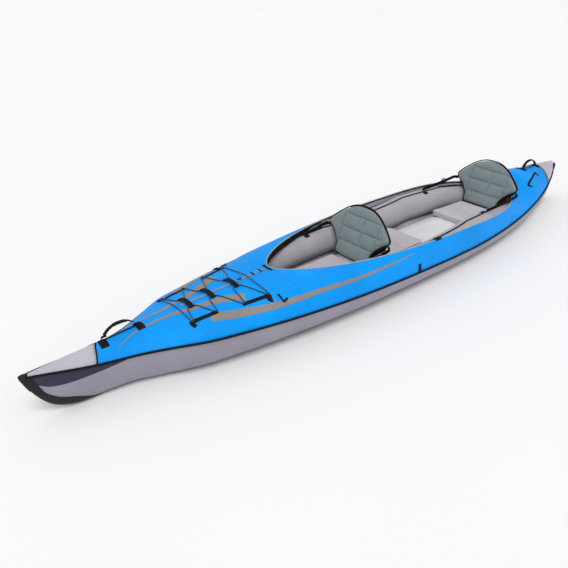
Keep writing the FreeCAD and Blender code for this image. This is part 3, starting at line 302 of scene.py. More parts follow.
# ---- Materials ---------------------------------------------------------------------------------
class Shader:
    """Short calls for building one material's nodes."""

    def __init__(self, name, roughness, **constants):
        self.material = bpy.data.materials.new(name)
        self.material.use_nodes = True
        self.tree = self.material.node_tree
        self.surface = self.tree.nodes["Principled BSDF"]
        self.surface.inputs["Roughness"].default_value = roughness
        for label, value in constants.items():
            self.surface.inputs[label.replace("_", " ")].default_value = value

    def node(self, kind, links=None, **values):
        made = self.tree.nodes.new("ShaderNode" + kind)
        for key, value in values.items():
            if hasattr(made, key):
                setattr(made, key, value)
            else:
                made.inputs[key.replace("_", " ")].default_value = value
        for label, source in (links or {}).items():
            self.tree.links.new(source, made.inputs[label])
        return made

    def coordinates(self, uv):
        return self.node("TexCoord").outputs["UV" if uv else "Object"]

    def noise(self, where, scale, detail=2.0, stretch=(1, 1, 1)):
        mapped = self.node("Mapping", {"Vector": where})
        mapped.inputs["Scale"].default_value = stretch
        made = self.node("TexNoise", {"Vector": mapped.outputs[0]}, Scale=scale, Detail=detail)
        return made.outputs["Fac"]

    def bands(self, where, axis, period):
        made = self.node("TexWave", {"Vector": where}, bands_direction=axis)
        made.inputs["Scale"].default_value = 0.31416 / period
        made.inputs["Distortion"].default_value = 0.0
        return made.outputs["Fac"]

    def math(self, operation, a, b):
        made = self.node("Math", operation=operation)
        for socket, value in zip(made.inputs, (a, b)):
            if isinstance(value, (int, float)):
                socket.default_value = value
            else:
                self.tree.links.new(value, socket)
        return made.outputs[0]

    def spread(self, factor, low, high):
        made = self.node("MapRange", {"Value": factor})
        made.inputs["From Min"].default_value = low
        made.inputs["From Max"].default_value = high
        return made.outputs[0]

    def mix(self, factor, first, second):
        made = self.node("Mix", {"Factor": factor}, data_type="RGBA")
        for socket, value in ((made.inputs[6], first), (made.inputs[7], second)):
            if isinstance(value, tuple):
                socket.default_value = (*value, 1.0)
            else:
                self.tree.links.new(value, socket)
        return made.outputs[2]

    def bump(self, height, distance, strength, before=None):
        links = {"Height": height}
        if before is not None:
            links["Normal"] = before
        made = self.node("Bump", links, Distance=distance, Strength=strength)
        return made.outputs["Normal"]

    def finish(self, colour, normal, roughness=None):
        self.tree.links.new(colour, self.surface.inputs["Base Color"])
        self.tree.links.new(normal, self.surface.inputs["Normal"])
        if roughness is not None:
            self.tree.links.new(roughness, self.surface.inputs["Roughness"])
        return self.material


def shade(colour, factor):
    return tuple(clip(channel * factor) for channel in colour)


def coated_fabric(name, colour, roughness, period=0.0016, uv=True, crease=0.5, sheen=0.15, gloss=0.3):
    """Coated canvas: a fine plain weave, soft creases, scuffs and uneven colour."""
    s = Shader(name, roughness, Sheen_Weight=sheen, Sheen_Roughness=0.5, Specular_IOR_Level=gloss)
    where = s.coordinates(uv)
    place = s.coordinates(False)
    warp = s.bands(where, "X", period)
    weft = s.bands(where, "Y", period)
    weave = s.math("MAXIMUM", warp, weft)
    cloud = s.spread(s.noise(place, 3.2, 3.0), 0.3, 0.7)
    scuff = s.spread(s.noise(place, 55.0, 5.0, (0.35, 1, 1)), 0.60, 0.74)
    tint = s.mix(cloud, shade(colour, 0.88), shade(colour, 1.06))
    tint = s.mix(s.math("MULTIPLY", scuff, 0.25), tint, shade(colour, 0.72))
    tint = s.mix(s.math("MULTIPLY", s.math("SUBTRACT", 1.0, weave), 0.30), tint, shade(colour, 0.55))
    folds = s.noise(place, 9.0, 3.0, (0.45, 1.2, 1.2))
    normal = s.bump(folds, 0.012, crease * 0.35)
    normal = s.bump(s.noise(place, 34.0, 2.0, (0.6, 1, 1)), 0.0015, crease * 0.5, normal)
    normal = s.bump(weave, 0.00022, 0.5, normal)
    worn = s.spread(s.noise(place, 21.0, 4.0), 0.2, 0.9)
    rough = s.math("ADD", s.math("MULTIPLY", worn, 0.22), roughness - 0.11)
    return s.finish(tint, normal, rough)


def webbing(name, colour, rib=0.0022, roughness=0.78):
    """Woven tape: ribs across it, a herringbone down it, and paler dusty patches."""
    s = Shader(name, roughness, Specular_IOR_Level=0.15)
    where = s.coordinates(True)
    ribs = s.bands(where, "X", rib)
    twill = s.bands(where, "DIAGONAL", rib * 1.3)
    weave = s.math("MULTIPLY", ribs, twill)
    dust = s.spread(s.noise(s.coordinates(False), 30.0, 4.0), 0.45, 0.8)
    tint = s.mix(weave, shade(colour, 0.6), shade(colour, 1.3))
    tint = s.mix(s.math("MULTIPLY", dust, 0.3), tint, shade(colour, 1.8))
    normal = s.bump(weave, 0.0005, 0.7)
    normal = s.bump(s.noise(s.coordinates(False), 160.0, 2.0), 0.0003, 0.3, normal)
    return s.finish(tint, normal)


def moulded(name, colour, roughness, grain=420.0, depth=0.0001):
    """Moulded plastic or rubber: fine grain, handling marks and paler scuffs."""
    s = Shader(name, roughness, Specular_IOR_Level=0.3)
    place = s.coordinates(False)
    scuff = s.spread(s.noise(place, 70.0, 6.0, (1, 0.3, 1)), 0.58, 0.72)
    cloud = s.noise(place, 12.0, 3.0)
    tint = s.mix(cloud, shade(colour, 0.8), shade(colour, 1.3))
    tint = s.mix(s.math("MULTIPLY", scuff, 0.4), tint, shade(colour, 2.6))
    normal = s.bump(s.noise(place, grain, 2.0), depth, 0.5)
    rough = s.math("ADD", s.math("MULTIPLY", scuff, 0.2), roughness - 0.05)
    return s.finish(tint, normal, rough)


def metal(name, colour, roughness):
    """Drawn and tumbled metal: fine lines, soft tarnish."""
    s = Shader(name, roughness, Metallic=1.0)
    place = s.coordinates(False)
    lines = s.noise(place, 300.0, 2.0, (0.05, 1, 1))
    cloud = s.noise(place, 18.0, 3.0)
    tint = s.mix(cloud, shade(colour, 0.8), shade(colour, 1.1))
    normal = s.bump(lines, 0.0001, 0.3)
    rough = s.math("ADD", s.math("MULTIPLY", cloud, 0.2), roughness - 0.08)
    return s.finish(tint, normal, rough)


def braid(name, colour, fleck):
    """Braided cord sheath with a pale fleck."""
    s = Shader(name, 0.72, Sheen_Weight=0.25)
    where = s.coordinates(True)
    left = s.bands(where, "DIAGONAL", 0.0035)
    turned = s.node("Mapping", {"Vector": where})
    turned.inputs["Scale"].default_value = (-1, 1, 1)
    right = s.bands(turned.outputs[0], "DIAGONAL", 0.0035)
    strands = s.math("MAXIMUM", left, right)
    spots = s.spread(s.noise(s.coordinates(False), 260.0, 1.0), 0.62, 0.7)
    tint = s.mix(strands, shade(colour, 0.5), shade(colour, 1.5))
    tint = s.mix(s.math("MULTIPLY", spots, 0.5), tint, fleck)
    return s.finish(tint, s.bump(strands, 0.0006, 0.7))


BLUE = (0.001, 0.33, 0.97)
LILAC = (0.335, 0.315, 0.385)
deck_cloth = coated_fabric("deck_cloth", BLUE, 0.55, crease=0.45, sheen=0.0, gloss=0.12)
hull_cloth = coated_fabric("hull_cloth", LILAC, 0.5, crease=0.5, sheen=0.05)
# Nose covers: a paler, glossier copy of the hull lilac, which paints a highlight on the hull fabric.
painted_highlight_nose_cloth = coated_fabric("painted_highlight_nose_cloth", (0.50, 0.475, 0.56), 0.36, crease=0.6, sheen=0.05, gloss=0.5)
tube_cloth = coated_fabric("tube_cloth", (0.43, 0.405, 0.45), 0.42, crease=0.55)
floor_cloth = coated_fabric("floor_cloth", (0.70, 0.71, 0.73), 0.40, crease=0.4)
cushion_cloth = coated_fabric("cushion_cloth", (0.52, 0.49, 0.54), 0.5, uv=False, crease=0.6)
SLATE = (0.20, 0.255, 0.27)
seat_cloth = coated_fabric("seat_cloth", SLATE, 0.5, 0.0022, uv=False, crease=0.5, sheen=0.3)
grey_print = coated_fabric("grey_print", (0.27, 0.25, 0.235), 0.5, crease=0.4, sheen=0.05)
# Dark navy for the bow sheets under the sheer: painted shade where the hull side curves in under the
# deck.
painted_shade_navy_cloth = coated_fabric("painted_shade_navy_cloth", (0.026, 0.028, 0.060), 0.5, crease=0.5, sheen=0.05)
black_web = webbing("black_web", (0.009, 0.009, 0.010))
pale_web = webbing("pale_web", (0.50, 0.47, 0.41), 0.0016)
SOOT = (0.010, 0.009, 0.010)
DULL = {"crease": 0.8, "sheen": 0.0, "gloss": 0.12}
black_cloth = coated_fabric("black_cloth", SOOT, 0.75, 0.0024, **DULL)
shell_cloth = coated_fabric("shell_cloth", SOOT, 0.75, 0.0024, uv=False, **DULL)
# Pale grey thread for the seat back's welt and stitches; its paleness is partly thread colour and partly
# painted highlight along the seams.
pale_thread_and_highlight = webbing("pale_thread_and_highlight", (0.42, 0.47, 0.49), 0.0012)
plastic = moulded("plastic", (0.014, 0.014, 0.016), 0.42)
rubber = moulded("rubber", (0.008, 0.008, 0.009), 0.62, 260.0, 0.0002)
steel = metal("steel", (0.62, 0.62, 0.63), 0.28)
alloy = metal("alloy", (0.70, 0.71, 0.73), 0.35)
cord_sheath = braid("cord_sheath", (0.012, 0.012, 0.014), (0.25, 0.25, 0.27))
WEBBING = (black_web, "black_webbing")
PALE_TAPE = (pale_web, "pale_tape")
MOULDED = (plastic, "black_plastic")
TUBE_CLOTH = (tube_cloth, "tube_fabric")


# ---- Mesh builders -----------------------------------------------------------------------------
def lerp(a, b, share):
    return a + (b - a) * share


def steps(start, end, count):
    return [lerp(start, end, i / (count - 1)) for i in range(count)]


def eased(start, end, count):
    """Sine-spaced shares, close together towards 1 and -1."""
    return [math.sin(math.pi / 2 * s) for s in steps(start, end, count)]


def mirrored(points):
    return [Vector((p.x, -p.y, p.z)) for p in points]


def round_profile(radius, count=12):
    angles = [2 * math.pi * i / count for i in range(count)]
    return [(radius * math.cos(a), radius * math.sin(a)) for a in angles]


def tape_profile(width, thickness, count=20, power=5.0):
    """A flat strap's section: rounded edges, flat faces."""
    profile = []
    for i in range(count):
        angle = 2 * math.pi * i / count
        c, s = math.cos(angle), math.sin(angle)
        u = width / 2 * math.copysign(abs(c) ** (2 / power), c)
        v = thickness / 2 * math.copysign(abs(s) ** 0.6, s)
        profile.append((u, v))
    return profile


def smooth_path(points, count):
    """A curve through points, evenly sampled."""
    padded = [points[0] * 2 - points[1], *points, points[-1] * 2 - points[-2]]
    dense = []
    for i in range(1, len(padded) - 2):
        p0, p1, p2, p3 = padded[i - 1 : i + 3]
        for k in range(16):
            t = k / 16
            dense.append(
                0.5 * (2 * p1 + (p2 - p0) * t + (2 * p0 - 5 * p1 + 4 * p2 - p3) * t**2
                       + (3 * p1 - p0 - 3 * p2 + p3) * t**3)
            )
    dense.append(points[-1])
    lengths = [0.0]
    for a, b in zip(dense, dense[1:]):
        lengths.append(lengths[-1] + (b - a).length)
    found = []
    k = 0
    for wanted in steps(0.0, lengths[-1], count):
        while k < len(dense) - 2 and lengths[k + 1] < wanted:
            k += 1
        span = lengths[k + 1] - lengths[k]
        found.append(dense[k].lerp(dense[k + 1], clip((wanted - lengths[k]) / span)))
    return found


def finish_piece(piece, material, body, nodes):
    piece.data.materials.append(material)
    if body:
        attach(piece, body)
    if nodes:
        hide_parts(*nodes)
    return piece


def skinned(name, rings, material, slot, body="hull", nodes=(), closed=False, caps=True, sharp=42.0):
    """A closed surface through equal rings of points, with lengths in metres as its UVs."""
    count, size = len(rings), len(rings[0])
    verts = [p * MM for ring in rings for p in ring]
    along = [0.0]
    for a, b in zip(rings, rings[1:] + rings[:1]):
        along.append(along[-1] + (b[0] - a[0]).length * MM)
    widest = max(rings, key=lambda ring: (ring[0] - ring[size // 2]).length)
    around = [0.0]
    for a, b in zip(widest, widest[1:] + widest[:1]):
        around.append(around[-1] + (b - a).length * MM)
    faces = []
    corners = []
    for i in range(count if closed else count - 1):
        k = (i + 1) % count
        for j in range(size):
            m = (j + 1) % size
            faces.append((i * size + j, i * size + m, k * size + m, k * size + j))
            low, high = along[i], along[i + 1]
            a, b = around[j], around[j + 1]
            corners += [(low, a), (low, b), (high, b), (high, a)]
    if caps and not closed:
        for ring, flip in ((0, True), (count - 1, False)):
            face = [ring * size + j for j in range(size)]
            face = face[::-1] if flip else face
            faces.append(tuple(face))
            corners += [(verts[v].y, verts[v].z) for v in face]
    mesh = bpy.data.meshes.new(name)
    mesh.from_pydata(verts, [], faces)
    layer = mesh.uv_layers.new(name="UVMap")
    for item, corner in zip(layer.data, corners):
        item.uv = corner
    volume = sum(
        verts[f[0]].dot(verts[f[i]].cross(verts[f[i + 1]])) for f in faces for i in range(1, len(f) - 1)
    )
    if volume < 0:
        mesh.flip_normals()
    mesh.shade_smooth()
    mesh.set_sharp_from_angle(angle=math.radians(sharp))
    piece = bpy.data.objects.new(name, mesh)
    bpy.context.scene.collection.objects.link(piece)
    return finish_piece(piece, material, body, nodes)


def swept_rings(points, ups, profile, closed=False):
    rings = []
    count = len(points)
    for i, point in enumerate(points):
        before = points[i - 1] if closed or i > 0 else points[0]
        after = points[(i + 1) % count] if closed or i < count - 1 else points[-1]
        forward = (after - before).normalized()
        side = ups[i].cross(forward).normalized()
        up = forward.cross(side)
        rings.append([point + side * u + up * v for u, v in profile])
    return rings


def swept(name, points, ups, profile, material, slot, **rest):
    if isinstance(ups, Vector):
        ups = [ups] * len(points)
    rings = swept_rings(points, ups, profile, rest.get("closed", False))
    return skinned(name, rings, material, slot, **rest)


def deck_tape(name, plan, width, thickness, lift, material, slot, count=24, **rest):
    """Webbing laid on the deck along plan points (x, y)."""
    path = smooth_path([Vector((x, y, 0)) for x, y in plan], count)
    points = [on_deck(p.x, p.y, lift + thickness / 2) for p in path]
    ups = [deck_normal(p.x, p.y) for p in path]
    return swept(name, points, ups, tape_profile(width, thickness), material, slot, **rest)


def joined(name, pieces):
    """Several pieces with one material as one object."""
    with bpy.context.temp_override(active_object=pieces[0], selected_editable_objects=pieces):
        bpy.ops.object.join()
    pieces[0].name = name
    return pieces[0]


def inward(points, depth):
    moved = []
    last = len(points) - 1
    for i, point in enumerate(points):
        edge = points[min(i + 1, last)] - points[max(i - 1, 0)]
        size = math.hypot(edge.y, edge.z)
        moved.append(point + Vector((0, -edge.z, edge.y)) * (depth / size))
    return moved


def slack(x, t, side, depth):
    """Small unevenness of a stretched fabric panel: soft hollows, and puckers beside its seam."""
    hollow = noise.noise(Vector((x * 0.0042, t * 2.2, side * 7.1)))
    pucker = math.sin(x / 6.2 + 2.1 * noise.noise(Vector((x * 0.01, 3.0, side))))
    edge = math.exp(-t * 14.0) * clip(t * 40.0)
    return depth * hollow * math.sin(math.pi * clip(t)) + 0.7 * edge * pucker


def half_panel(name, places, point_of, side, material, slot, node, rows=22, depth=1.2):
    """One side's fabric panel as a thin closed shell."""
    rings = []
    for x in places:
        outer = [point_of(x, i / (rows - 1)) for i in range(rows)]
        last = len(outer) - 1
        pushed = []
        for i, p in enumerate(outer):
            edge = outer[min(i + 1, last)] - outer[max(i - 1, 0)]
            out = Vector((0, edge.z, -edge.y)).normalized()
            pushed.append(p + out * slack(x, i / last, side, depth))
        ring = pushed + inward(pushed, SKIN)[::-1]
        if side < 0:
            ring = mirrored(ring)
        rings.append(ring)
    return skinned(name, rings, material, slot, nodes=[node])


# ---- Skin --------------------------------------------------------------------------------------
def build_hull():
    places = steps(-SKIN_END, SKIN_END, 430)
    for side, label in SIDES:
        node = label + "_hull_side"
        half_panel(node + "_skin", places, hull_point, side, hull_cloth, "hull_fabric", node, 26)
    end = FLAT_END - 12.0
    rings = []
    for x in [end * s for s in eased(-1, 1, 120)]:
        half = max(flat_share(x) * half_beam(x) - SKIN_GAP, 1.5)
        low = [Vector((x, y, 0.0)) for y in steps(-half, half, 9)]
        rings.append(low + [p + Vector((0, 0, SKIN)) for p in low[::-1]])
    skinned("bottom_skin", rings, hull_cloth, "hull_fabric", nodes=["bottom_panel"])
    for side, label in SIDES:
        line = [Vector((x, side * flat_share(x) * half_beam(x), 1.0)) for x in steps(-1640, 1640, 120)]
        profile = tape_profile(26, 1.4)
        swept("chine_weld_" + label, line, UP, profile, hull_cloth, "hull_fabric")


def trimmed_deck(x, t):
    """Deck point with its upper end at the rim or just beside the ridge."""
    end = deck_share(x, 1.0) if deck_point(x, 1.0).y < 1.0 else 1.0
    return deck_point(x, t * end)


def raked_ring(x_ridge, x_seam, rows=17):
    port = []
    for i in range(rows):
        t = i / (rows - 1)
        p = deck_point(lerp(x_seam, x_ridge, t), t)
        port.append(p + Vector((0, 0, slack(p.x, t, 1, 1.2))))
    other = []
    for p in port[-2::-1]:
        other.append(Vector((p.x, -p.y, p.z)))
    outer = port + other
    return outer + inward(outer, SKIN)[::-1]


def build_decks():
    rear = [lerp(RIM_MAX_X, RIM_REAR_X + 0.4, s) for s in eased(0, 1, 90)]
    front = [lerp(RIM_MAX_X, RIM_FRONT_X - 0.4, s) for s in eased(0, 1, 140)]
    cockpit = rear[:0:-1] + front
    fore = steps(RIM_FRONT_X + 0.4, ZIP_END_X, 64)
    for side, label in SIDES:
        for part, places in (("side_deck", cockpit), ("foredeck", fore)):
            node = f"{label}_{part}"
            half_panel(node + "_skin", places, trimmed_deck, side, deck_cloth, "deck_fabric", node)
    spans = {
        "bow_deck": ((ZIP_END_X + 0.6, ZIP_END_X + 0.6), NOSE, 60),
        "aft_deck": ((RIM_REAR_X - 0.4, RIM_REAR_X - 0.4), TAIL, 64),
        "bow_nose_cover": ((NOSE[0] + 0.6, NOSE[1] + 0.6), (SKIN_END, SKIN_END), 40),
        "stern_nose_cover": ((TAIL[0] - 0.6, TAIL[1] - 0.6), (-SKIN_END, -SKIN_END), 32),
    }
    for node, (first, last, count) in spans.items():
        rings = []
        for share in steps(0, 1, count):
            rings.append(raked_ring(lerp(first[0], last[0], share), lerp(first[1], last[1], share)))
        # The nose covers take the paler cloth that paints a highlight on them.
        nose = (painted_highlight_nose_cloth, "hull_fabric")
        look = nose if "nose" in node else (deck_cloth, "deck_fabric")
        skinned(node + "_skin", rings, *look, nodes=[node])


def raked_line(ridge, seam, lift, count=33):
    """Points over the deck from the starboard seam to the port seam."""
    port = []
    for t in steps(0.01, 1.0, count):
        x = lerp(seam, ridge, t)
        p = deck_point(x, t)
        port.append(on_deck(x, max(p.y, 0.5), lift))
    return port + mirrored(port[-2::-1])


def hull_out(x, t):
    """Outward direction of the port hull in its cross-section."""
    edge = hull_point(x, min(t + 0.02, 1.0)) - hull_point(x, max(t - 0.02, 0.0))
    return Vector((0, edge.z, -edge.y)).normalized()


def build_graphics():
    """Plain sweeping stripes on the deck, and a dark navy sheet on each side of the bow, painted shade
    under the sheer.
    """
    stripes = (
        (
            "low",
            ((1326, 172), (1232, 213), (1095, 256), (948, 290),
             (632, 334), (430, 356), (196, 368), (-37, 373)),
            (62, 54, 42, 31, 18, 12, 7, 2),
        ),
        (
            "fore",
            ((1811, 62), (1709, 36), (1617, 31), (1504, 34),
             (1404, 52), (1289, 72), (1187, 101), (1082, 150)),
            (2, 8, 13, 20, 30, 42, 52, 60),
        ),
    )
    for name, plan, widths in stripes:
        path = smooth_path([Vector((x, y, w)) for (x, y), w in zip(plan, widths)], 80)
        for side, label in SIDES:
            rings = []
            for i, p in enumerate(path):
                along = path[min(i + 1, len(path) - 1)] - path[max(i - 1, 0)]
                sideways = Vector((-along.y, along.x, 0)).normalized()
                low, high = [], []
                for u in steps(-p.z / 2, p.z / 2, 9):
                    q = p + sideways * u
                    limit = rim_half_width(q.x) + 8.0 if in_cockpit(q.x) else 14.0
                    low.append(on_deck(q.x, max(q.y, limit), 0.4))
                    high.append(on_deck(q.x, max(q.y, limit), 1.6))
                ring = high + low[::-1]
                rings.append(ring if side > 0 else mirrored(ring))
            skinned(f"stripe_{name}_{label}", rings, grey_print, "deck_fabric")
    # Dark navy sheets just under the sheer at the bow: painted shade of the hollow there.
    for side, label in SIDES:
        rings = []
        for x in steps(1790, 2244, 70):
            low = lerp(0.975, 0.76, clip((x - 1790) / 370))
            outer, inner = [], []
            for t in steps(low, 0.985, 12):
                p = hull_point(x, t)
                out = hull_out(x, t)
                outer.append(p + out * 1.7)
                inner.append(p + out * 0.3)
            ring = outer + inner[::-1]
            rings.append(ring if side > 0 else mirrored(ring))
        skinned("bow_painted_shade_" + label, rings, painted_shade_navy_cloth, "hull_fabric")


def stem_at(z, end):
    """Distance from the middle at which the stem of one end (1 bow, -1 stern) passes a height."""
    share = search(z, lambda part: keel(end * (STEM_START + STEM_LENGTH * part)))
    return STEM_START + STEM_LENGTH * share


def build_guards():
    """Rubber strips up the two stems, each with a moulded cap round the tip."""
    for name, end, height, top in (("bow", 1, 58.0, 268.0), ("stern", -1, 34.0, 284.0)):
        rings = []
        for x in [end * lerp(1765, 2246, s) for s in eased(0, 1, 60)]:
            swell = 1.0 + 0.9 * smooth((abs(x) - 2170) / 76)
            rise = height * swell * max(smooth((abs(x) - 1885) / 190), 0.05)
            share = search(rise, lambda t: hull_point(x, t).z - keel(x))
            port = []
            for t in steps(0.0, share, 8):
                port.append((hull_point(x, t), hull_out(x, t)))
            slope = keel(x + 1.0) - keel(x - 1.0)
            stretch = math.sqrt(1 + (slope / 2) ** 2)
            outer = [Vector((x, 0, keel(x) - GUARD_FACE * stretch))]
            inner = [Vector((x, 0, keel(x) - GUARD_GAP * stretch))]
            for i, (p, out) in enumerate(port[1:]):
                edge = GUARD_FACE if i < 6 else 3.0
                outer.append(p + Vector((0, out.y * edge, out.z * edge * stretch)))
                inner.append(p + Vector((0, out.y * GUARD_GAP, out.z * GUARD_GAP * stretch)))
            rings.append(mirrored(outer[:0:-1]) + outer + inner[::-1] + mirrored(inner[1:]))
        skinned(name + "_guard", rings, rubber, "black_rubber", nodes=[name + "_keel_guard"])
        cap = []
        for z in steps(keel(end * STEM_TIP_X) - 2.0, top, 22):
            front = stem_at(z, end) + 8.2 * min(1.0, 0.55 + (top - z) / 30)
            back = max(min(front - 34.0, STEM_TIP_X), 2205.0)
            wide = lerp(7.0, half_beam(end * 2240) + 3.0, smooth((z - 120) / 120))
            wide *= min(1.0, 0.7 + (top - z) / 20)
            ring = []
            for k in range(24):
                angle = 2 * math.pi * k / 24
                c, sn = math.cos(angle), math.sin(angle)
                u = (front + back) / 2 + (front - back) / 2 * c
                ring.append(Vector((end * u, wide * squared(sn, 0.7), z)))
            cap.append(ring)
        skinned(name + "_stem_cap", cap, rubber, "black_rubber")


def build_seams():
    """Piping between the skins, and the lines across the two ends."""
    for side, label in SIDES:
        line = []
        for x in [2248.0 * s for s in eased(-1, 1, 260)]:
            line.append(Vector((x, side * (half_beam(x) + 5.4), sheer(x))))
        flat = [(u, 1.55 * v) for u, v in round_profile(4.5, 16)]
        swept("sheer_piping_" + label, line, UP, flat, *WEBBING,
              nodes=["sheer_piping"])
        crest = []
        for x in steps(*CREST_SPAN, 120):
            y, z, radius = upper_tube(x)
            crest.append(Vector((x, side * y, z + radius + 4.6)))
        oval = [(1.7 * u, v) for u, v in round_profile(3.0)]
        swept("crest_piping_" + label, crest, UP, oval, *WEBBING, nodes=["tube_crest_piping"])
    up = ALONG
    # The *_highlight rows are pale tape strips: painted highlights beside the nose and tail seams.
    for name, ends, shift, lift, profile, material, slot in (
        ("nose_line", NOSE, 0, 1.6, (3.0, 8.0), *WEBBING),
        ("nose_highlight", NOSE, 10, 0.9, (1.6, 6.0), *PALE_TAPE),
        ("tail_line", TAIL, 0, 1.6, (3.0, 7.0), *WEBBING),
        ("tail_highlight", TAIL, 12, 0.9, (1.6, 8.0), *PALE_TAPE),
        ("tail_line_inner", TAIL, 22, 1.2, (2.4, 5.0), *WEBBING),
    ):
        line = raked_line(ends[0] + shift, ends[1] + shift, lift)
        swept(name, line, up, tape_profile(*profile), material, slot)


# ---- Air chambers ------------------------------------------------------------------------------
def build_chambers():
    for side, label in SIDES:
        for part, centre_of, squareness in (
            ("upper", upper_tube, shoulder),
            ("lower", lower_tube, lambda x: 2.0),
        ):
            rings = []
            places = [lerp(TUBE_STRAIGHT[0], TUBE_ENDS[0], s) for s in eased(1, 0, 60)]
            places += steps(*TUBE_STRAIGHT, 110)[1:-1]
            places += [lerp(TUBE_STRAIGHT[1], TUBE_ENDS[1], s) for s in eased(0, 1, 60)]
            for x in places:
                y, z, radius = centre_of(x)
                ring = []
                for i, (dy, dz) in enumerate(tube_offsets(radius, squareness(x), 56)):
                    ripple = noise.noise(Vector((x * 0.006, i * 0.22, side * 3.0)))
                    inner = clip((-dy + radius * 0.4) / max(radius, 1.0))
                    scale = 1.0 - 0.006 * inner * (0.5 + 0.5 * ripple)
                    ring.append(Vector((x, side * (y + dy * scale), z + dz * scale)))
                rings.append(ring)
            node = f"{label}_{part}_tube"
            skinned(node + "_cover", rings, *TUBE_CLOTH, nodes=[node])
        strip = []
        for x in steps(*CREST_SPAN, 90):
            y, z, radius = upper_tube(x)
            strip.append(Vector((x, side * (y - radius * 0.985), z - radius * 0.1)))
        swept("tube_seam_" + label, strip, Vector((0, side, 0)), tape_profile(14, 1.6), *TUBE_CLOTH)


def floor_ring(x):
    """Floor section: flat-topped, round-sided, with shallow troughs between its lengthwise cells."""
    half = min(174.0, half_beam(x) - 200.0)
    top, low = FLOOR_TOP, 4.0
    middle, height = (top + low) / 2, (top - low) / 2
    ring = []
    for i in range(96):
        angle = 2 * math.pi * i / 96
        c, s = math.cos(angle), math.sin(angle)
        y = half * squared(c, 0.62)
        z = middle + height * squared(s, 0.36)
        if s > 0.2:
            cells = 0.5 + 0.5 * math.cos(2 * math.pi * y / 87.0)
            z -= 2.6 * (1.0 - cells) ** 3
        ring.append(Vector((x, y, z)))
    return ring


def build_floor():
    rings = [floor_ring(x) for x in steps(-1580, 1370, 200)]
    skinned("floor_cover", rings, floor_cloth, "hull_fabric", nodes=["floor_chamber"])


# ---- Cockpit rim -------------------------------------------------------------------------------
def rim_plan(count=110):
    rear = [lerp(RIM_MAX_X, RIM_REAR_X, s) for s in eased(0, 1, count)]
    front = [lerp(RIM_MAX_X, RIM_FRONT_X, s) for s in eased(0, 1, count)]
    port = [(x, rim_half_width(x)) for x in rear[::-1] + front[1:]]
    return port + [(x, -y) for x, y in port[-2:0:-1]]


def rim_line(inset, drop_of):
    plan = rim_plan()
    line = []
    for i, (x, y) in enumerate(plan):
        ax, ay = plan[i - 1]
        bx, by = plan[(i + 1) % len(plan)]
        size = math.hypot(bx - ax, by - ay)
        nx, ny = (by - ay) / size, -(bx - ax) / size
        line.append(Vector((x + nx * inset, y + ny * inset, rim_height(x) - drop_of(x))))
    return line


def hem_drop(x):
    room = rim_height(x) - tube_top(x, rim_half_width(x) - 4.0)
    return clip(room - 9.0, 14.2, 45.2)


def build_rim():
    up = UP
    tape = rim_line(2.6, lambda x: 0.6)
    profile = [(u * 0.95, v * 1.25) for u, v in round_profile(3.4, 14)]
    swept("edge_tape", tape, up, profile, *PALE_TAPE, closed=True, nodes=["cockpit_edge_tape"])
    drops = {}
    for name, cloth, slot, back, node in (
        ("rim_hem", black_cloth, "black_webbing", 0.0, ["cockpit_hem"]),
        ("rim_lining", *TUBE_CLOTH, -1.6, []),
    ):
        rings = []
        for i, (p, q) in enumerate(zip(rim_line(3.0, lambda x: 4.4), rim_line(4.6, lambda x: 4.4))):
            drop = drops.setdefault(round(p.x, 1), hem_drop(clip(p.x, RIM_REAR_X + 2, RIM_FRONT_X - 2)))
            if node:
                drop = lerp(12.0, drop, max(smooth((p.x - 60) / 260), smooth((-1330 - p.x) / 120)))
            ring = []
            for side_point in (p, q):
                column = []
                for k in range(7):
                    depth = k / 6
                    gather = 0.9 * depth * math.sin(i * 0.9 + 1.3 * math.sin(i * 0.21))
                    shift = (q - p) * (gather + back)
                    column.append(side_point + shift - up * (drop - 4.4) * depth)
                ring += column if side_point is p else column[::-1]
            rings.append(ring)
        skinned(name, rings, cloth, slot, closed=True, nodes=node)
    for side, label in SIDES:
        x = RIM_LOOP_X
        y = rim_half_width(x)
        z = rim_height(x)
        loop = []
        for a in steps(0, 2 * math.pi, 33)[:-1]:
            across = -6.0 - 15.0 * math.cos(a)
            loop.append(Vector((x, side * (y + across), z + 1.5 + 7.0 * math.sin(a))))
        profile = tape_profile(3.0, 52.0, 20)
        swept("rim_loop_" + label, loop, ALONG, profile, *WEBBING, closed=True, nodes=["rim_loops"])


# ---- Soft seats --------------------------------------------------------------------------------
def remeshed(piece, voxel):
    piece.data.remesh_voxel_size = voxel
    with bpy.context.temp_override(active_object=piece, object=piece, selected_objects=[piece]):
        bpy.ops.object.voxel_remesh()


def puffed(piece, pressure, cap, voxel=0.006):
    """Blow a pad up as cloth, then keep the shape it takes."""
    remeshed(piece, voxel)
    mesh = piece.data
    rest = [v.co.copy() for v in mesh.vertices]
    cloth = piece.modifiers.new("pad", "CLOTH")
    cloth.settings.use_pressure = True
    cloth.settings.uniform_pressure_force = pressure
    cloth.settings.effector_weights.gravity = 0.0
    cloth.settings.quality = 4
    cloth.settings.tension_stiffness = 25.0
    cloth.settings.compression_stiffness = 25.0
    cloth.settings.bending_stiffness = 1.5
    cloth.point_cache.frame_start = 1
    cloth.point_cache.frame_end = 20
    scene = bpy.context.scene
    for number in range(1, 21):
        scene.frame_set(number)
    shaped = piece.evaluated_get(bpy.context.evaluated_depsgraph_get())
    moved = [v.co.copy() for v in shaped.data.vertices]
    piece.modifiers.remove(cloth)
    for vertex, start, end in zip(mesh.vertices, rest, moved):
        shift = end - start
        if shift.length > cap:
            shift *= cap / shift.length
        vertex.co = start + shift
    scene.frame_set(1)


def divided(piece):
    """One subdivision, kept in the mesh."""
    piece.modifiers.new("fine", "SUBSURF").levels = 1
    shaped = piece.evaluated_get(bpy.context.evaluated_depsgraph_get())
    mesh = bpy.data.meshes.new_from_object(shaped)
    piece.modifiers.clear()
    piece.data = mesh
    mesh.shade_smooth()


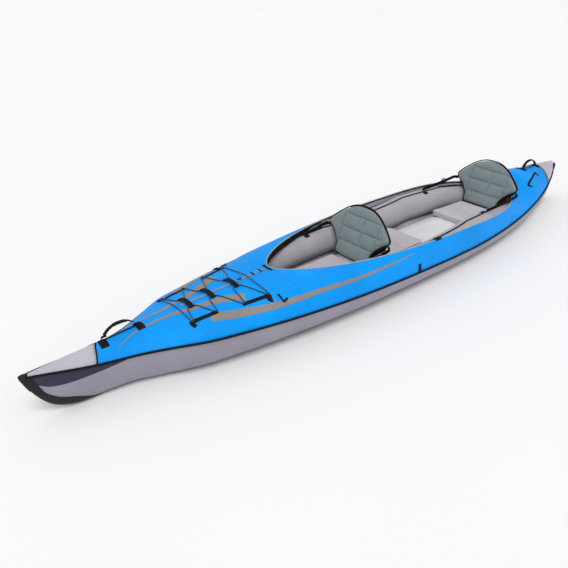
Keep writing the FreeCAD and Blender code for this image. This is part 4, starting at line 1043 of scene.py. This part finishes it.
def pad_piece(name, outline, low, high, material, slot, node, welts):
    """A floor cushion: blown up, flat underneath, with a sewn border and cross channels."""
    ring = [Vector((x, y, 0)) for x, y in outline]
    inset = 2.5
    centre = sum(ring, Vector()) / len(ring)
    rings = []
    narrow = -inset - 2
    for z, grow in ((low, narrow), (low + 2.5, -inset), (high - 4.5, -inset), (high - 2.5, narrow)):
        row = []
        for p in ring:
            out = (p - centre).normalized() * grow
            row.append(Vector((p.x + out.x, p.y + out.y, z)))
        rings.append(row)
    piece = skinned(name, rings, material, slot, body=None)
    piece.data.materials.clear()
    puffed(piece, 4.0, 0.006)
    divided(piece)
    for vertex in piece.data.vertices:
        p = vertex.co
        if p.z > (low + high) / 2 * MM:
            for axis, place in welts:
                gap = (p.x if axis == "x" else p.y) - place * MM
                p.z -= 0.0055 * math.exp(-(gap / 0.0045) ** 2)
        p.z = max(p.z, (low + 0.1) * MM)
    finish_piece(piece, material, "hull", [node])
    return piece


def rounded_outline(x0, x1, half0, half1, corner, count=8):
    """Plan outline of a pad: wide half0 at x0 and half1 at x1, with round corners."""
    points = []
    for cx, cy, start in (
        (x1 - corner, half1 - corner, 0.0),
        (x0 + corner, half0 - corner, math.pi / 2),
        (x0 + corner, corner - half0, math.pi),
        (x1 - corner, corner - half1, 1.5 * math.pi),
    ):
        for i in range(count):
            angle = start + math.pi / 2 * i / (count - 1)
            points.append((cx + corner * math.cos(angle), cy + corner * math.sin(angle)))
    return points


def build_cushions():
    pad_piece("front_pad", rounded_outline(131, 480, 157, 157, 14), 145.8, 160.0, cushion_cloth,
              "cushion_fabric", "front_cushion", (("x", 300),))
    pad_piece("centre_pad", rounded_outline(-430, -20, 159, 159, 34), 145.8, 187.0, cushion_cloth,
              "cushion_fabric", "centre_cushion", (("x", -225),))
    pad_piece("rear_pad", rounded_outline(-1221, -888, 137, 157, 12), 145.8, 187.0, cushion_cloth,
              "cushion_fabric", "rear_cushion", (("x", -1060),))


def outline_points(grow=0.0, count=160):
    """The back's outline as a closed smooth curve in (side, height)."""
    port = [Vector((0, y, h)) for y, h in BACK_OUTLINE]
    ring = [Vector((0, -p.y, p.z)) for p in port[::-1]][1:-1] + port
    looped = ring[-2:] + ring + ring[:2]
    dense = smooth_path(looped, count * 2)
    start = min(range(len(dense) // 3), key=lambda i: (dense[i] - ring[0]).length)
    end = min(range(len(dense) // 2, len(dense)), key=lambda i: (dense[i] - ring[0]).length)
    points = smooth_path(dense[start:end], count)[:-1]
    moved = []
    for i, p in enumerate(points):
        along = points[(i + 1) % len(points)] - points[i - 1]
        out = Vector((0, along.z, -along.y)).normalized()
        if out.dot(p - Vector((0, 0, BACK_MIDDLE))) < 0 and (p - Vector((0, 0, BACK_MIDDLE))).length > 40:
            out = -out
        moved.append(p + out * grow)
    return moved


def leaned(piece, hinge_x):
    hinge = Matrix.Translation(Vector((hinge_x, 0, SEAT_HINGE_Z)) * MM)
    piece.data.transform(hinge @ Matrix.Rotation(-SEAT_LEAN, 4, "Y"))
    piece.data.update()
    return piece


BACK_SEAMS = (
    ((-120, 262), (168, 262)),
    ((-150, 174), (182, 174)),
    ((-138, 84), (150, 84)),
    ((-140, 58), (-134, 278)),
    ((166, 100), (156, 278)),
    ((36, 84), (36, 262)),
)


def seam_gap(y, h, seam):
    (ay, ah), (by, bh) = seam
    dy, dh = by - ay, bh - ah
    share = clip(((y - ay) * dy + (h - ah) * dh) / (dy * dy + dh * dh))
    return math.hypot(y - ay - share * dy, h - ah - share * dh)


def put_on_back(piece, hinge_x, body, node=None):
    """Lean a piece with its seat back, ride it there and let it stand for a CAD node."""
    leaned(piece, hinge_x)
    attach(piece, body)
    if node:
        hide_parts(node)


def build_back(seat, hinge_x):
    body = seat + "_back"
    rings = []
    for x, grow in ((-9, -12), (-9, -4), (-4, -1.5), (4, -1.5), (9, -4), (9, -12)):
        rings.append([p + Vector((x, 0, 0)) for p in outline_points(grow)])
    panel = skinned(body + "_pad", rings, seat_cloth, "seat_fabric", body=None)
    panel.data.materials.clear()
    puffed(panel, 3.0, 0.0055)
    divided(panel)
    for vertex in panel.data.vertices:
        p = vertex.co
        if p.x > 0:
            y, h = p.y / MM, p.z / MM
            gap = min(seam_gap(y, h, seam) for seam in BACK_SEAMS)
            cell = 1.0 - math.exp(-((gap / 22.0) ** 2))
            groove = math.exp(-((gap / 5.0) ** 2))
            p.x += 0.001 + 0.0045 * cell - 0.0055 * groove
    leaned(panel, hinge_x)
    finish_piece(panel, seat_cloth, body, [seat + "_back_panel"])

    edge = outline_points(3.2)
    piping = swept(body + "_edge", edge, ALONG, round_profile(4.2, 12), *WEBBING,
                   closed=True, body=None, nodes=[])
    put_on_back(piping, hinge_x, body, seat + "_back_piping")

    # The welt and the stitches are pale thread, pale enough to paint the highlights along the back's
    # seams.
    inner = [p + Vector((11.5, 0, 0)) for p in outline_points(-9.0)]
    welt = swept(body + "_welt", inner, ALONG, round_profile(1.3, 8), pale_thread_and_highlight, "seat_fabric",
                 closed=True, body=None)
    put_on_back(welt, hinge_x, body)

    shell_rings = []
    for x, grow in ((-19, -16), (-19, -5), (-16.5, -2.2), (-13.8, -3)):
        shell_rings.append([p + Vector((x, 0, 0)) for p in outline_points(grow)])
    shell = skinned(body + "_rear_shell", shell_rings, shell_cloth, "black_webbing", body=None)
    put_on_back(shell, hinge_x, body, seat + "_back_shell")

    stitches = []
    for seam in BACK_SEAMS:
        (ay, ah), (by, bh) = seam
        length = math.hypot(by - ay, bh - ah)
        uy, uh = (by - ay) / length, (bh - ah) / length
        for offset in (-3.4, 3.4):
            count = int(length / 7.0)
            for i in range(count):
                middle = length * (i + 0.5) / count
                row = []
                for k, rise in ((-2.2, -0.9), (0.0, 0.5), (2.2, -0.9)):
                    y = ay + uy * (middle + k) - uh * offset
                    h = ah + uh * (middle + k) + uy * offset
                    row.append(Vector((front_face(panel_depth(seat), y, h) + rise, y, h)))
                stitches.append(row)
    piece = stitched(body + "_stitching", stitches, ALONG, 0.55, pale_thread_and_highlight, "seat_fabric", None)
    put_on_back(piece, hinge_x, body)


DEPTHS = {}


def panel_depth(seat):
    """Front surface of a back's pad, as heights over a grid of (side, height) cells."""
    piece = bpy.data.objects[seat + "_back_pad"]
    if seat not in DEPTHS:
        hinge = Matrix.Translation(Vector((SEATS[seat], 0, SEAT_HINGE_Z)) * MM)
        back = (hinge @ Matrix.Rotation(-SEAT_LEAN, 4, "Y")).inverted()
        cells = {}
        for vertex in piece.data.vertices:
            p = back @ vertex.co
            if p.x > 0:
                key = (round(p.y / MM / 5), round(p.z / MM / 5))
                cells[key] = max(cells.get(key, 0.0), p.x / MM)
        DEPTHS[seat] = cells
    return DEPTHS[seat]


def front_face(cells, y, h):
    return cells.get((round(y / 5), round(h / 5)), 12.0)


def stitched(name, rows, up, radius, material, slot, body):
    """Many short threads as one mesh, each a bent four-sided rod."""
    verts, faces = [], []
    for row in rows:
        base = len(verts)
        forward = (row[-1] - row[0]).normalized()
        side = up.cross(forward).normalized()
        over = forward.cross(side)
        for point in row:
            for u, v in ((1, 0), (0, 1), (-1, 0), (0, -1)):
                verts.append((point + (side * u + over * v) * radius) * MM)
        for i in range(len(row) - 1):
            for j in range(4):
                m = (j + 1) % 4
                low = base + i * 4
                faces.append((low + j, low + m, low + 4 + m, low + 4 + j))
        last = base + 4 * (len(row) - 1)
        faces.append((base + 3, base + 2, base + 1, base))
        faces.append((last, last + 1, last + 2, last + 3))
    mesh = bpy.data.meshes.new(name)
    mesh.from_pydata(verts, [], faces)
    mesh.shade_smooth()
    piece = bpy.data.objects.new(name, mesh)
    bpy.context.scene.collection.objects.link(piece)
    return finish_piece(piece, material, body, [])


# ---- Webbing, zip and rigging ------------------------------------------------------------------
def build_seat_straps():
    reach = {"front": 135.0, "rear": 330.0}
    side_up = Vector((0, 1, 0))
    for seat, hinge_x in SEATS.items():
        back_x = hinge_x - STRAP_HIGH * math.sin(SEAT_LEAN)
        anchor_x = hinge_x + reach[seat]
        for side, label in SIDES:
            high = SEAT_HINGE_Z + STRAP_HIGH * math.cos(SEAT_LEAN)
            start = Vector((back_x, side * STRAP_Y, high))
            end = Vector((anchor_x, side * STRAP_Y, tube_top(anchor_x, STRAP_Y - 1.0) + 17.5))
            ear = Vector((back_x - 2.0, side * 250.0, start.z + 2.0))
            turns = [
                ear,
                ear.lerp(start, 0.7) + Vector((6, side * 1.5, 0)),
                start + Vector((22, 0, -2)),
                start.lerp(end, 0.5) + Vector((0, 0, -4)),
                end,
            ]
            path = smooth_path(turns, 60)
            strap = swept(f"{seat}_strap_{label}", path, side_up, tape_profile(25, 2.0), *WEBBING,
                          body=None, nodes=["seat_straps"])
            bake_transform(strap)
            place = start.lerp(end, 0.36)
            build_buckle(f"{seat}_buckle_{label}", place, (end - start).normalized(), side)
            patch = []
            ups = []
            centre, middle, _ = upper_tube(anchor_x)
            for y in steps(centre - 34, centre - 8, 9):
                p = Vector((anchor_x, y, tube_top(anchor_x, y)))
                up = Vector((0, y - centre, p.z - middle)).normalized()
                q = p + up * 1.8
                patch.append(Vector((q.x, side * q.y, q.z)))
                ups.append(Vector((0, side * up.y, up.z)))
            swept(f"{seat}_strap_tab_{label}", patch, ups, tape_profile(40, 2.0), *WEBBING,
                  nodes=["strap_anchors"])


def build_gussets():
    """Black fabric wings from each back's shoulder down to its foot, behind the pad."""
    for seat, hinge_x in SEATS.items():
        for side, label in SIDES:
            edge = ((240, 196), (232, 176), (206, 128), (168, 92), (148, 60), (146, 30))
            path = smooth_path([Vector((0, y, h)) for y, h in edge], 30)
            rings = []
            for i, p in enumerate(path):
                share = i / 29
                width = 8 + 16 * math.sin(math.pi * min(share * 1.1, 1.0)) ** 0.8
                sag = 2.0 * math.sin(share * 9.0)
                inner = Vector((-16.0, p.y - 6.0, p.z))
                outer = Vector((-18.0 + sag, p.y + width * 0.55, p.z - width * 0.55))
                ring = [inner, inner.lerp(outer, 0.5) + Vector((3, 0, 0)), outer]
                ring += [q - Vector((2.2, 0, 0)) for q in ring[::-1]]
                rings.append([Vector((q.x, side * q.y, q.z)) for q in ring])
            wing = skinned(f"{seat}_back_wing_{label}", rings, shell_cloth, "black_webbing", body=None)
            put_on_back(wing, hinge_x, seat + "_back")


def build_buckle(name, place, direction, side):
    out = Vector((0, side, 0))
    up = direction.cross(Vector((0, 1, 0))).normalized()
    loop = []
    for i in range(48):
        angle = 2 * math.pi * i / 48
        c, s = math.cos(angle), math.sin(angle)
        u = 22 * squared(c, 0.35)
        v = 17 * squared(s, 0.35)
        loop.append(place + direction * u + up * v + out * 2.6)
    profile = [(u * 1.2, v) for u, v in round_profile(2.1, 10)]
    swept(name, loop, out, profile, *MOULDED, closed=True, body="hull", nodes=["strap_buckles"])
    bars = []
    for shift in (-8.0, 0.0, 8.0):
        ends = [place + direction * shift + up * v + out * 2.8 for v in steps(-16, 16, 6)]
        bars.append(swept(f"{name}_bar", ends, out, round_profile(1.9, 10), *MOULDED))
    joined(name + "_bars", bars)


def build_zip():
    ends = [(ZIP_START_X, 0.0), (1100, 0.0), (ZIP_END_X, 0.0)]
    deck_tape("zip_tape", ends, 22, 1.2, 0.5, deck_cloth, "deck_fabric", nodes=["deck_zip_tape"])
    for side, label in SIDES:
        cord = [(x, side * 5.0) for x in (ZIP_START_X + 24, 1100, ZIP_END_X - 6)]
        deck_tape("zip_cord_" + label, cord, 3.2, 2.2, 1.7, *PALE_TAPE)
    rows = []
    pitch = 3.2
    count = int((ZIP_END_X - 6 - ZIP_START_X - 30) / pitch)
    for i in range(count):
        x = ZIP_START_X + 30 + pitch * i
        side = 1 if i % 2 else -1
        z = crown(x) + 2.6
        rows.append([Vector((x, side * 3.4, z)), Vector((x, 0.0, z + 0.3)), Vector((x, -side * 2.4, z))])
    stitched("zip_teeth", rows, UP, 0.95, *PALE_TAPE, "hull")
    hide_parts("deck_zip_teeth")
    arc = []
    for y in steps(-40, 40, 9):
        arc.append((RIM_FRONT_X + 14 - 7 * (y / 40) ** 2, y))
    deck_tape("zip_end_tab", arc, 16, 1.8, 1.9, *WEBBING, nodes=["zip_end_patch"])
    for x in (913, 860):
        across = [(x, y) for y in (-17, 0, 17)]
        deck_tape(f"zip_keeper_{x}", across, 9, 1.2, 5.4, *WEBBING, 10)


def pad_rings(x):
    """Rolled-end strap arched over the zip: its section repeated across the pad's width."""
    sleeve = on_deck(x, PAD_SLEEVE_Y, PAD_SLEEVE_LIFT)
    rise = crown(x) + 16.0 - sleeve.z
    line = []
    for a in steps(math.radians(-150), math.radians(140), 15):
        line.append((sleeve.y + 4.6 * math.cos(a), sleeve.z + 4.6 * math.sin(a)))
    for y in steps(46.5, 0, 14):
        line.append((y, sleeve.z + 2.4 + (rise - 1.0) * (1 - (y / PAD_SLEEVE_Y) ** 2)))
    line += [(-y, z) for y, z in line[-2::-1]]
    return [Vector((x, y, z)) for y, z in line]


def build_pads():
    for number, x in enumerate(PAD_CENTRES):
        points = pad_rings(x)
        swept(f"cross_pad_{number}", points, ALONG, [(v, u) for u, v in tape_profile(32, 2.0)],
              *WEBBING, nodes=["cross_pads"])


def bungee_route():
    """Control points of the shock cord's closed line, port half then starboard half."""
    turn = 6.0
    front_x = BUNGEE_TURNS[0][0] + turn
    rear_x = BUNGEE_TURNS[3][0] - turn
    port = [on_deck(front_x, y, lift) for y, lift in ((14, 9), (50, 6), (100, 5), (135, 6))]
    for i, (x, y) in enumerate(BUNGEE_TURNS):
        port.append(on_deck(x + turn, y, CORD_LIFT))
        port.append(on_deck(x, y + 2.5, CORD_LIFT))
        port.append(on_deck(x - turn, y, CORD_LIFT))
        if i < 3:
            centre = on_deck(PAD_CENTRES[i], PAD_SLEEVE_Y, PAD_SLEEVE_LIFT)
            entry, leave = centre + Vector((28, 0, 0)), centre - Vector((28, 0, 0))
            next_x, next_y = BUNGEE_TURNS[i + 1]
            for a, b in ((port[-1], entry), (leave, on_deck(next_x + turn, next_y, CORD_LIFT))):
                middle = (a + b) / 2
                lifted = on_deck(middle.x, middle.y, 5.0)
                if b is entry:
                    inside = Vector((19, 0, 0))
                    port += [lifted, entry, centre + inside, centre, centre - inside, leave]
                else:
                    port.append(lifted)
    port += [on_deck(rear_x, y, lift) for y, lift in ((190, 6), (150, 5), (100, 6), (50, 11), (14, 16))]
    return port + mirrored(port[::-1])


def build_bungee():
    curve = bpy.data.curves.new("shock_cord", "CURVE")
    curve.dimensions = "3D"
    line = curve.splines.new("NURBS")
    route = bungee_route()
    line.points.add(len(route) - 1)
    for point, place in zip(line.points, route):
        point.co = (*(place * MM), 1.0)
    line.use_cyclic_u = True
    line.order_u = 3
    line.resolution_u = 6
    probe = bpy.data.objects.new("probe", curve)
    bpy.context.scene.collection.objects.link(probe)
    line_mesh = bpy.data.meshes.new_from_object(probe)
    points = [v.co / MM for v in line_mesh.vertices]
    bpy.data.objects.remove(probe)
    bpy.data.meshes.remove(line_mesh)
    ups = [Vector((0.02, 0.01, 1.0))] * len(points)
    swept("shock_cord", points, ups, round_profile(3.0, 12), cord_sheath, "shock_cord",
          closed=True, nodes=["bungee_cord"])
    for number, (plan, loops) in enumerate((
        ([(1428.0, 149.0), (1350, 156), (1272.0, 163.0)], BUNGEE_TURNS[:2]),
        ([(1134.0, 193.0), (1048, 204.5), (962.0, 216.0)], BUNGEE_TURNS[2:]),
    )):
        for side, label in SIDES:
            placed = [(x, side * y) for x, y in plan]
            deck_tape(f"bungee_strip_{number}_{label}", placed, 26, 1.8, 0.4, *WEBBING,
                      nodes=["bungee_strips"])
            if number == 0:
                foot = [(1428, side * 142), (1430, side * 162), (1424, side * 182)]
                deck_tape("bungee_foot_" + label, foot, 24, 1.8, 1.0, *WEBBING)
            for k, (x, y) in enumerate(loops):
                centre = on_deck(x, side * y, CORD_LIFT)
                ring = []
                for a in steps(0, 2 * math.pi, 25)[:-1]:
                    ring.append(centre + Vector((0, 6.0 * math.cos(a), 6.0 * math.sin(a))))
                swept(f"cord_loop_{number}{k}_{label}", ring, ALONG, round_profile(1.6, 8),
                      cord_sheath, "shock_cord", closed=True)


def build_deck_fittings():
    for side, label in SIDES:
        ring_x, ring_y = RING_PLACE
        plan = [(ring_x, side * y) for y in (ring_y - 30, ring_y - 15, ring_y - 1)]
        deck_tape(f"ring_tab_{label}", plan, 24, 1.8, 0.5, *WEBBING, 12, nodes=["deck_ring_tabs"])
        hinge = on_deck(ring_x, side * ring_y, 5.2)
        roll = []
        for a in steps(math.radians(-60), math.radians(230), 20):
            roll.append(hinge + Vector((0, side * 3.2 * math.cos(a), 3.2 * math.sin(a))))
        profile = [(v, u) for u, v in tape_profile(24, 1.4)]
        swept(f"ring_roll_{label}", roll, ALONG, profile, *WEBBING)
        tail = [(x, side * y) for x, y in ((970, 214), (978, 232), (985, 246))]
        deck_tape(f"ring_tail_{label}", tail, 24, 1.5, 2.6, *WEBBING, 14)
        for number, ends in enumerate((((922, 234), (927, 289)), ((927, 289), (893, 279)))):
            plan = [(x, side * y) for x, y in ends]
            deck_tape(f"paddle_keeper_{number}_{label}", plan, 12, 1.8, 0.5 + number * 1.8,
                      *WEBBING, 12, nodes=["paddle_keepers"])
        arms = (
            ((-1860, 75), (-1858, 119)),
            ((-1855, 82), (-1740, 126), (-1617, 172)),
            ((-1617, 172), (-1652, 190)),
        )
        for number, ends in enumerate(arms):
            plan = [(x, side * y) for x, y in ends]
            deck_tape(f"stern_strap_{number}_{label}", plan, 16, 1.8, 0.5 + (number % 2) * 1.8,
                      *WEBBING, 26, nodes=["stern_straps"])
        path = [deck_point(SIDE_TAB_X, t) for t in steps(0.03, 0.23, 18)]
        ups = []
        for i in range(18):
            along = path[min(i + 1, 17)] - path[max(i - 1, 0)]
            out = Vector((0, along.z, -along.y)).normalized()
            path[i] = path[i] + out * 1.9
            ups.append(Vector((0, side * out.y, out.z)))
        placed = path if side > 0 else mirrored(path)
        profile = tape_profile(26, 2.0)
        swept(f"side_tab_{label}", placed, ups, profile, *WEBBING, nodes=["side_tabs"])


# ---- Handles and valves ------------------------------------------------------------------------
def build_handle(end, ends, height):
    """Webbing grab handle on two pins: strap, rolled grip, pins and ridge patches."""
    a, b = ends
    toward = math.copysign(1.0, b - a)
    axis_z = max(crown(a), crown(b)) + 9.0
    body = end + "_handle"
    line = []
    for share in steps(0, 1, 60):
        x = lerp(a, b, share) + toward * 14.5 * (1 - 2 * share)
        z = axis_z + 5.7 + height * (1 - abs(2 * share - 1) ** 2.6)
        line.append(Vector((x, 0, z)))
    swept(body + "_strap", line, UP, tape_profile(24, 3.0), *WEBBING,
          body=body, nodes=[end + "_handle"])
    rings = []
    middle = line[16:44]
    last = len(middle) - 1
    for i, p in enumerate(middle):
        share = i / last
        swell = 1.0 - 0.35 * abs(2 * share - 1) ** 6
        profile = [(u * swell, v * swell) for u, v in tape_profile(27, 9.0, 20, 2.6)]
        forward = (middle[min(i + 1, last)] - middle[max(i - 1, 0)]).normalized()
        up = forward.cross(Vector((0, 1, 0)))
        up = up if up.z > 0 else -up
        rings.append([p + Vector((0, 1, 0)) * u + up * v for u, v in profile])
    skinned(body + "_grip", rings, black_cloth, "black_webbing", body=body)
    for number, (x, way) in enumerate(((a, toward), (b, -toward))):
        sleeve = [Vector((lerp(x + way * 3.5, x + way * 25.5, s), 0, axis_z)) for s in steps(0, 1, 6)]
        outer = [[p + Vector((0, u, v)) for u, v in round_profile(6.0, 24)] for p in sleeve]
        inner = [[p + Vector((0, u, v)) for u, v in round_profile(3.4, 24)] for p in sleeve]
        wall = outer + inner[::-1]
        skinned(f"{body}_sleeve_{number}", wall, *WEBBING, body=body, closed=True)
        pin = [Vector((lerp(x - way * 3, x + way * 27, s), 0, axis_z)) for s in steps(0, 1, 8)]
        pin_rings = []
        for i, p in enumerate(pin):
            radius = 3.0 if 0 < i < 7 else 2.2
            pin_rings.append([p + Vector((0, u, v)) for u, v in round_profile(radius, 20)])
        skinned(f"{body}_pin_{number}", pin_rings, plastic, "black_webbing",
                nodes=[end + "_handle_anchors"])
        post = [Vector((x, 0, z)) for z in steps(crown(x) + 1.4, axis_z, 6)]
        profile = tape_profile(9, 5.5)
        swept(f"{body}_post_{number}", post, ALONG, profile, plastic, "black_webbing")
        for k, (length, width) in enumerate(((74, 44), (34, 26))):
            plan = [(x, y) for y in (-length / 2, 0, length / 2)]
            lift = 0.8 + 1.3 * k
            deck_tape(f"{body}_patch_{number}{k}", plan, width, 1.4, lift, *WEBBING, 20)
    ridge = [(lerp(a, b, share), 0.0) for share in (0, 0.5, 1)]
    deck_tape(body + "_ridge_tape", ridge, 12, 1.6, 0.5, *WEBBING, 40)


def lathe(name, centre, axis, profile, flutes, material, slot, body, nodes, count=96):
    """A turned form along axis from (radius, height) pairs, with optional flutes."""
    axis = axis.normalized()
    side = ALONG
    over = axis.cross(side).normalized()
    rings = []
    for radius, height, fluted in profile:
        ring = []
        for i in range(count):
            angle = 2 * math.pi * i / count
            r = radius
            if fluted and flutes:
                r -= 1.3 * (0.5 + 0.5 * math.cos(flutes * angle)) ** 3
            across = side * (r * math.cos(angle))
            ring.append(centre + axis * height + across + over * (r * math.sin(angle)))
        rings.append(ring)
    return skinned(name, rings, material, slot, body=body, nodes=nodes)


def build_valves():
    angle = math.radians(30)
    y, z, radius = upper_tube(SIDE_VALVE_X)
    port_out = Vector((0, -math.cos(angle), math.sin(angle)))
    port_seat = Vector((SIDE_VALVE_X, y, z)) + port_out * (radius - 3.0)
    places = (
        ("port", port_seat, port_out),
        ("starboard", *mirrored([port_seat, port_out])),
        ("floor", Vector((FLOOR_VALVE_X, 0, FLOOR_TOP - 2.0)), UP),
    )
    body_profile = (
        (8, 0.5, 0), (25, 0.5, 0), (25, 4.2, 0), (24.2, 5.6, 0),
        (19, 6.2, 0), (15, 6.8, 0), (15, 12, 0), (9, 12, 0),
    )
    cap_profile = (
        (6, 12.6, 0), (17.4, 12.6, 1), (18, 13.4, 1), (18, 20.0, 1),
        (17.0, 21.3, 0), (12, 21.5, 0), (10.5, 20.6, 0), (4, 20.6, 0),
    )
    for label, seat, out in places:
        lathe(label + "_valve_seat", seat, out, body_profile, 0, *MOULDED,
              "hull", ["valve_bodies"])
        lathe(label + "_valve_top", seat, out, cap_profile, 18, *MOULDED,
              label + "_cap", [label + "_valve_cap"])


def dress_frame():
    """Materials for the pieces that are shown as the frame has them."""
    looks = {
        "tracking_fin": plastic, "stem_plates": plastic,
        "hull_ribs": alloy, "zip_slider": plastic, "zip_pull": plastic,
        "port_deck_ring": steel, "starboard_deck_ring": steel,
    }
    for node, material in looks.items():
        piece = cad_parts[node]
        for place in piece.material_slots:
            place.material = material


# ---- Studio ------------------------------------------------------------------------------------
def build_studio():
    mesh = bpy.data.meshes.new("ground")
    size = 40.0
    corners = [(-size, -size, 0), (size, -size, 0), (size, size, 0), (-size, size, 0)]
    mesh.from_pydata(corners, [], [(0, 1, 2, 3)])
    ground = bpy.data.objects.new("ground", mesh)
    bpy.context.scene.collection.objects.link(ground)
    s = Shader("ground", 0.85)
    cloud = s.noise(s.coordinates(False), 0.6, 2.0)
    tint = s.mix(cloud, (0.90, 0.90, 0.90), (0.93, 0.93, 0.93))
    mesh.materials.append(s.finish(tint, s.bump(s.noise(s.coordinates(False), 60.0, 2.0), 0.0004, 0.1)))
    world = bpy.data.worlds.new("studio")
    world.use_nodes = True
    back = world.node_tree.nodes["Background"]
    back.inputs["Color"].default_value = (0.97, 0.98, 1.0, 1)
    back.inputs["Strength"].default_value = 0.66
    bpy.context.scene.world = world
    for name, place, width, power, tint in (
        ("key", (0.9, 1.6, 3.0), 0.5, 1.35, (1.0, 0.98, 0.96)),
        ("side", (2.6, -1.8, 1.8), 0.7, 0.30, (0.93, 0.96, 1.0)),
    ):
        light = bpy.data.lights.new(name, "SUN")
        light.energy = power
        light.angle = width
        light.color = tint
        lamp = bpy.data.objects.new(name, light)
        lamp.location = place
        lamp.rotation_euler = (-Vector(place)).to_track_quat("-Z", "Y").to_euler()
        bpy.context.scene.collection.objects.link(lamp)


def build_camera():
    azimuth, elevation, roll = math.radians(139.72), math.radians(28.17), math.radians(-0.55)
    place = Vector((3.01212, 2.75137, 2.11532))
    level = math.cos(elevation)
    back = Vector((math.sin(azimuth) * level, -math.cos(azimuth) * level, math.sin(elevation)))
    right = (-back).cross(UP).normalized()
    up = back.cross(right)
    turned_right = right * math.cos(roll) + up * math.sin(roll)
    turned_up = up * math.cos(roll) - right * math.sin(roll)
    lens = bpy.data.cameras.new("camera")
    lens.sensor_width = 36.0
    lens.lens = 43.58
    camera = bpy.data.objects.new("camera", lens)
    turned = Matrix((turned_right, turned_up, back)).transposed()
    camera.matrix_world = Matrix.Translation(place) @ turned.to_4x4()
    bpy.context.scene.collection.objects.link(camera)
    bpy.context.scene.camera = camera
    bpy.context.scene.view_settings.view_transform = "Standard"


build_studio()
build_camera()
build_hull()
build_decks()
build_graphics()
build_guards()
build_seams()
build_chambers()
build_floor()
build_rim()
build_cushions()
for seat_name, seat_hinge in SEATS.items():
    build_back(seat_name, seat_hinge)
build_seat_straps()
build_gussets()
build_zip()
build_pads()
build_bungee()
build_deck_fittings()
build_handle("bow", (1856.0, 1650.0), 40.0)
build_handle("stern", (-1795.0, -1985.0), 38.0)
build_valves()
dress_frame()
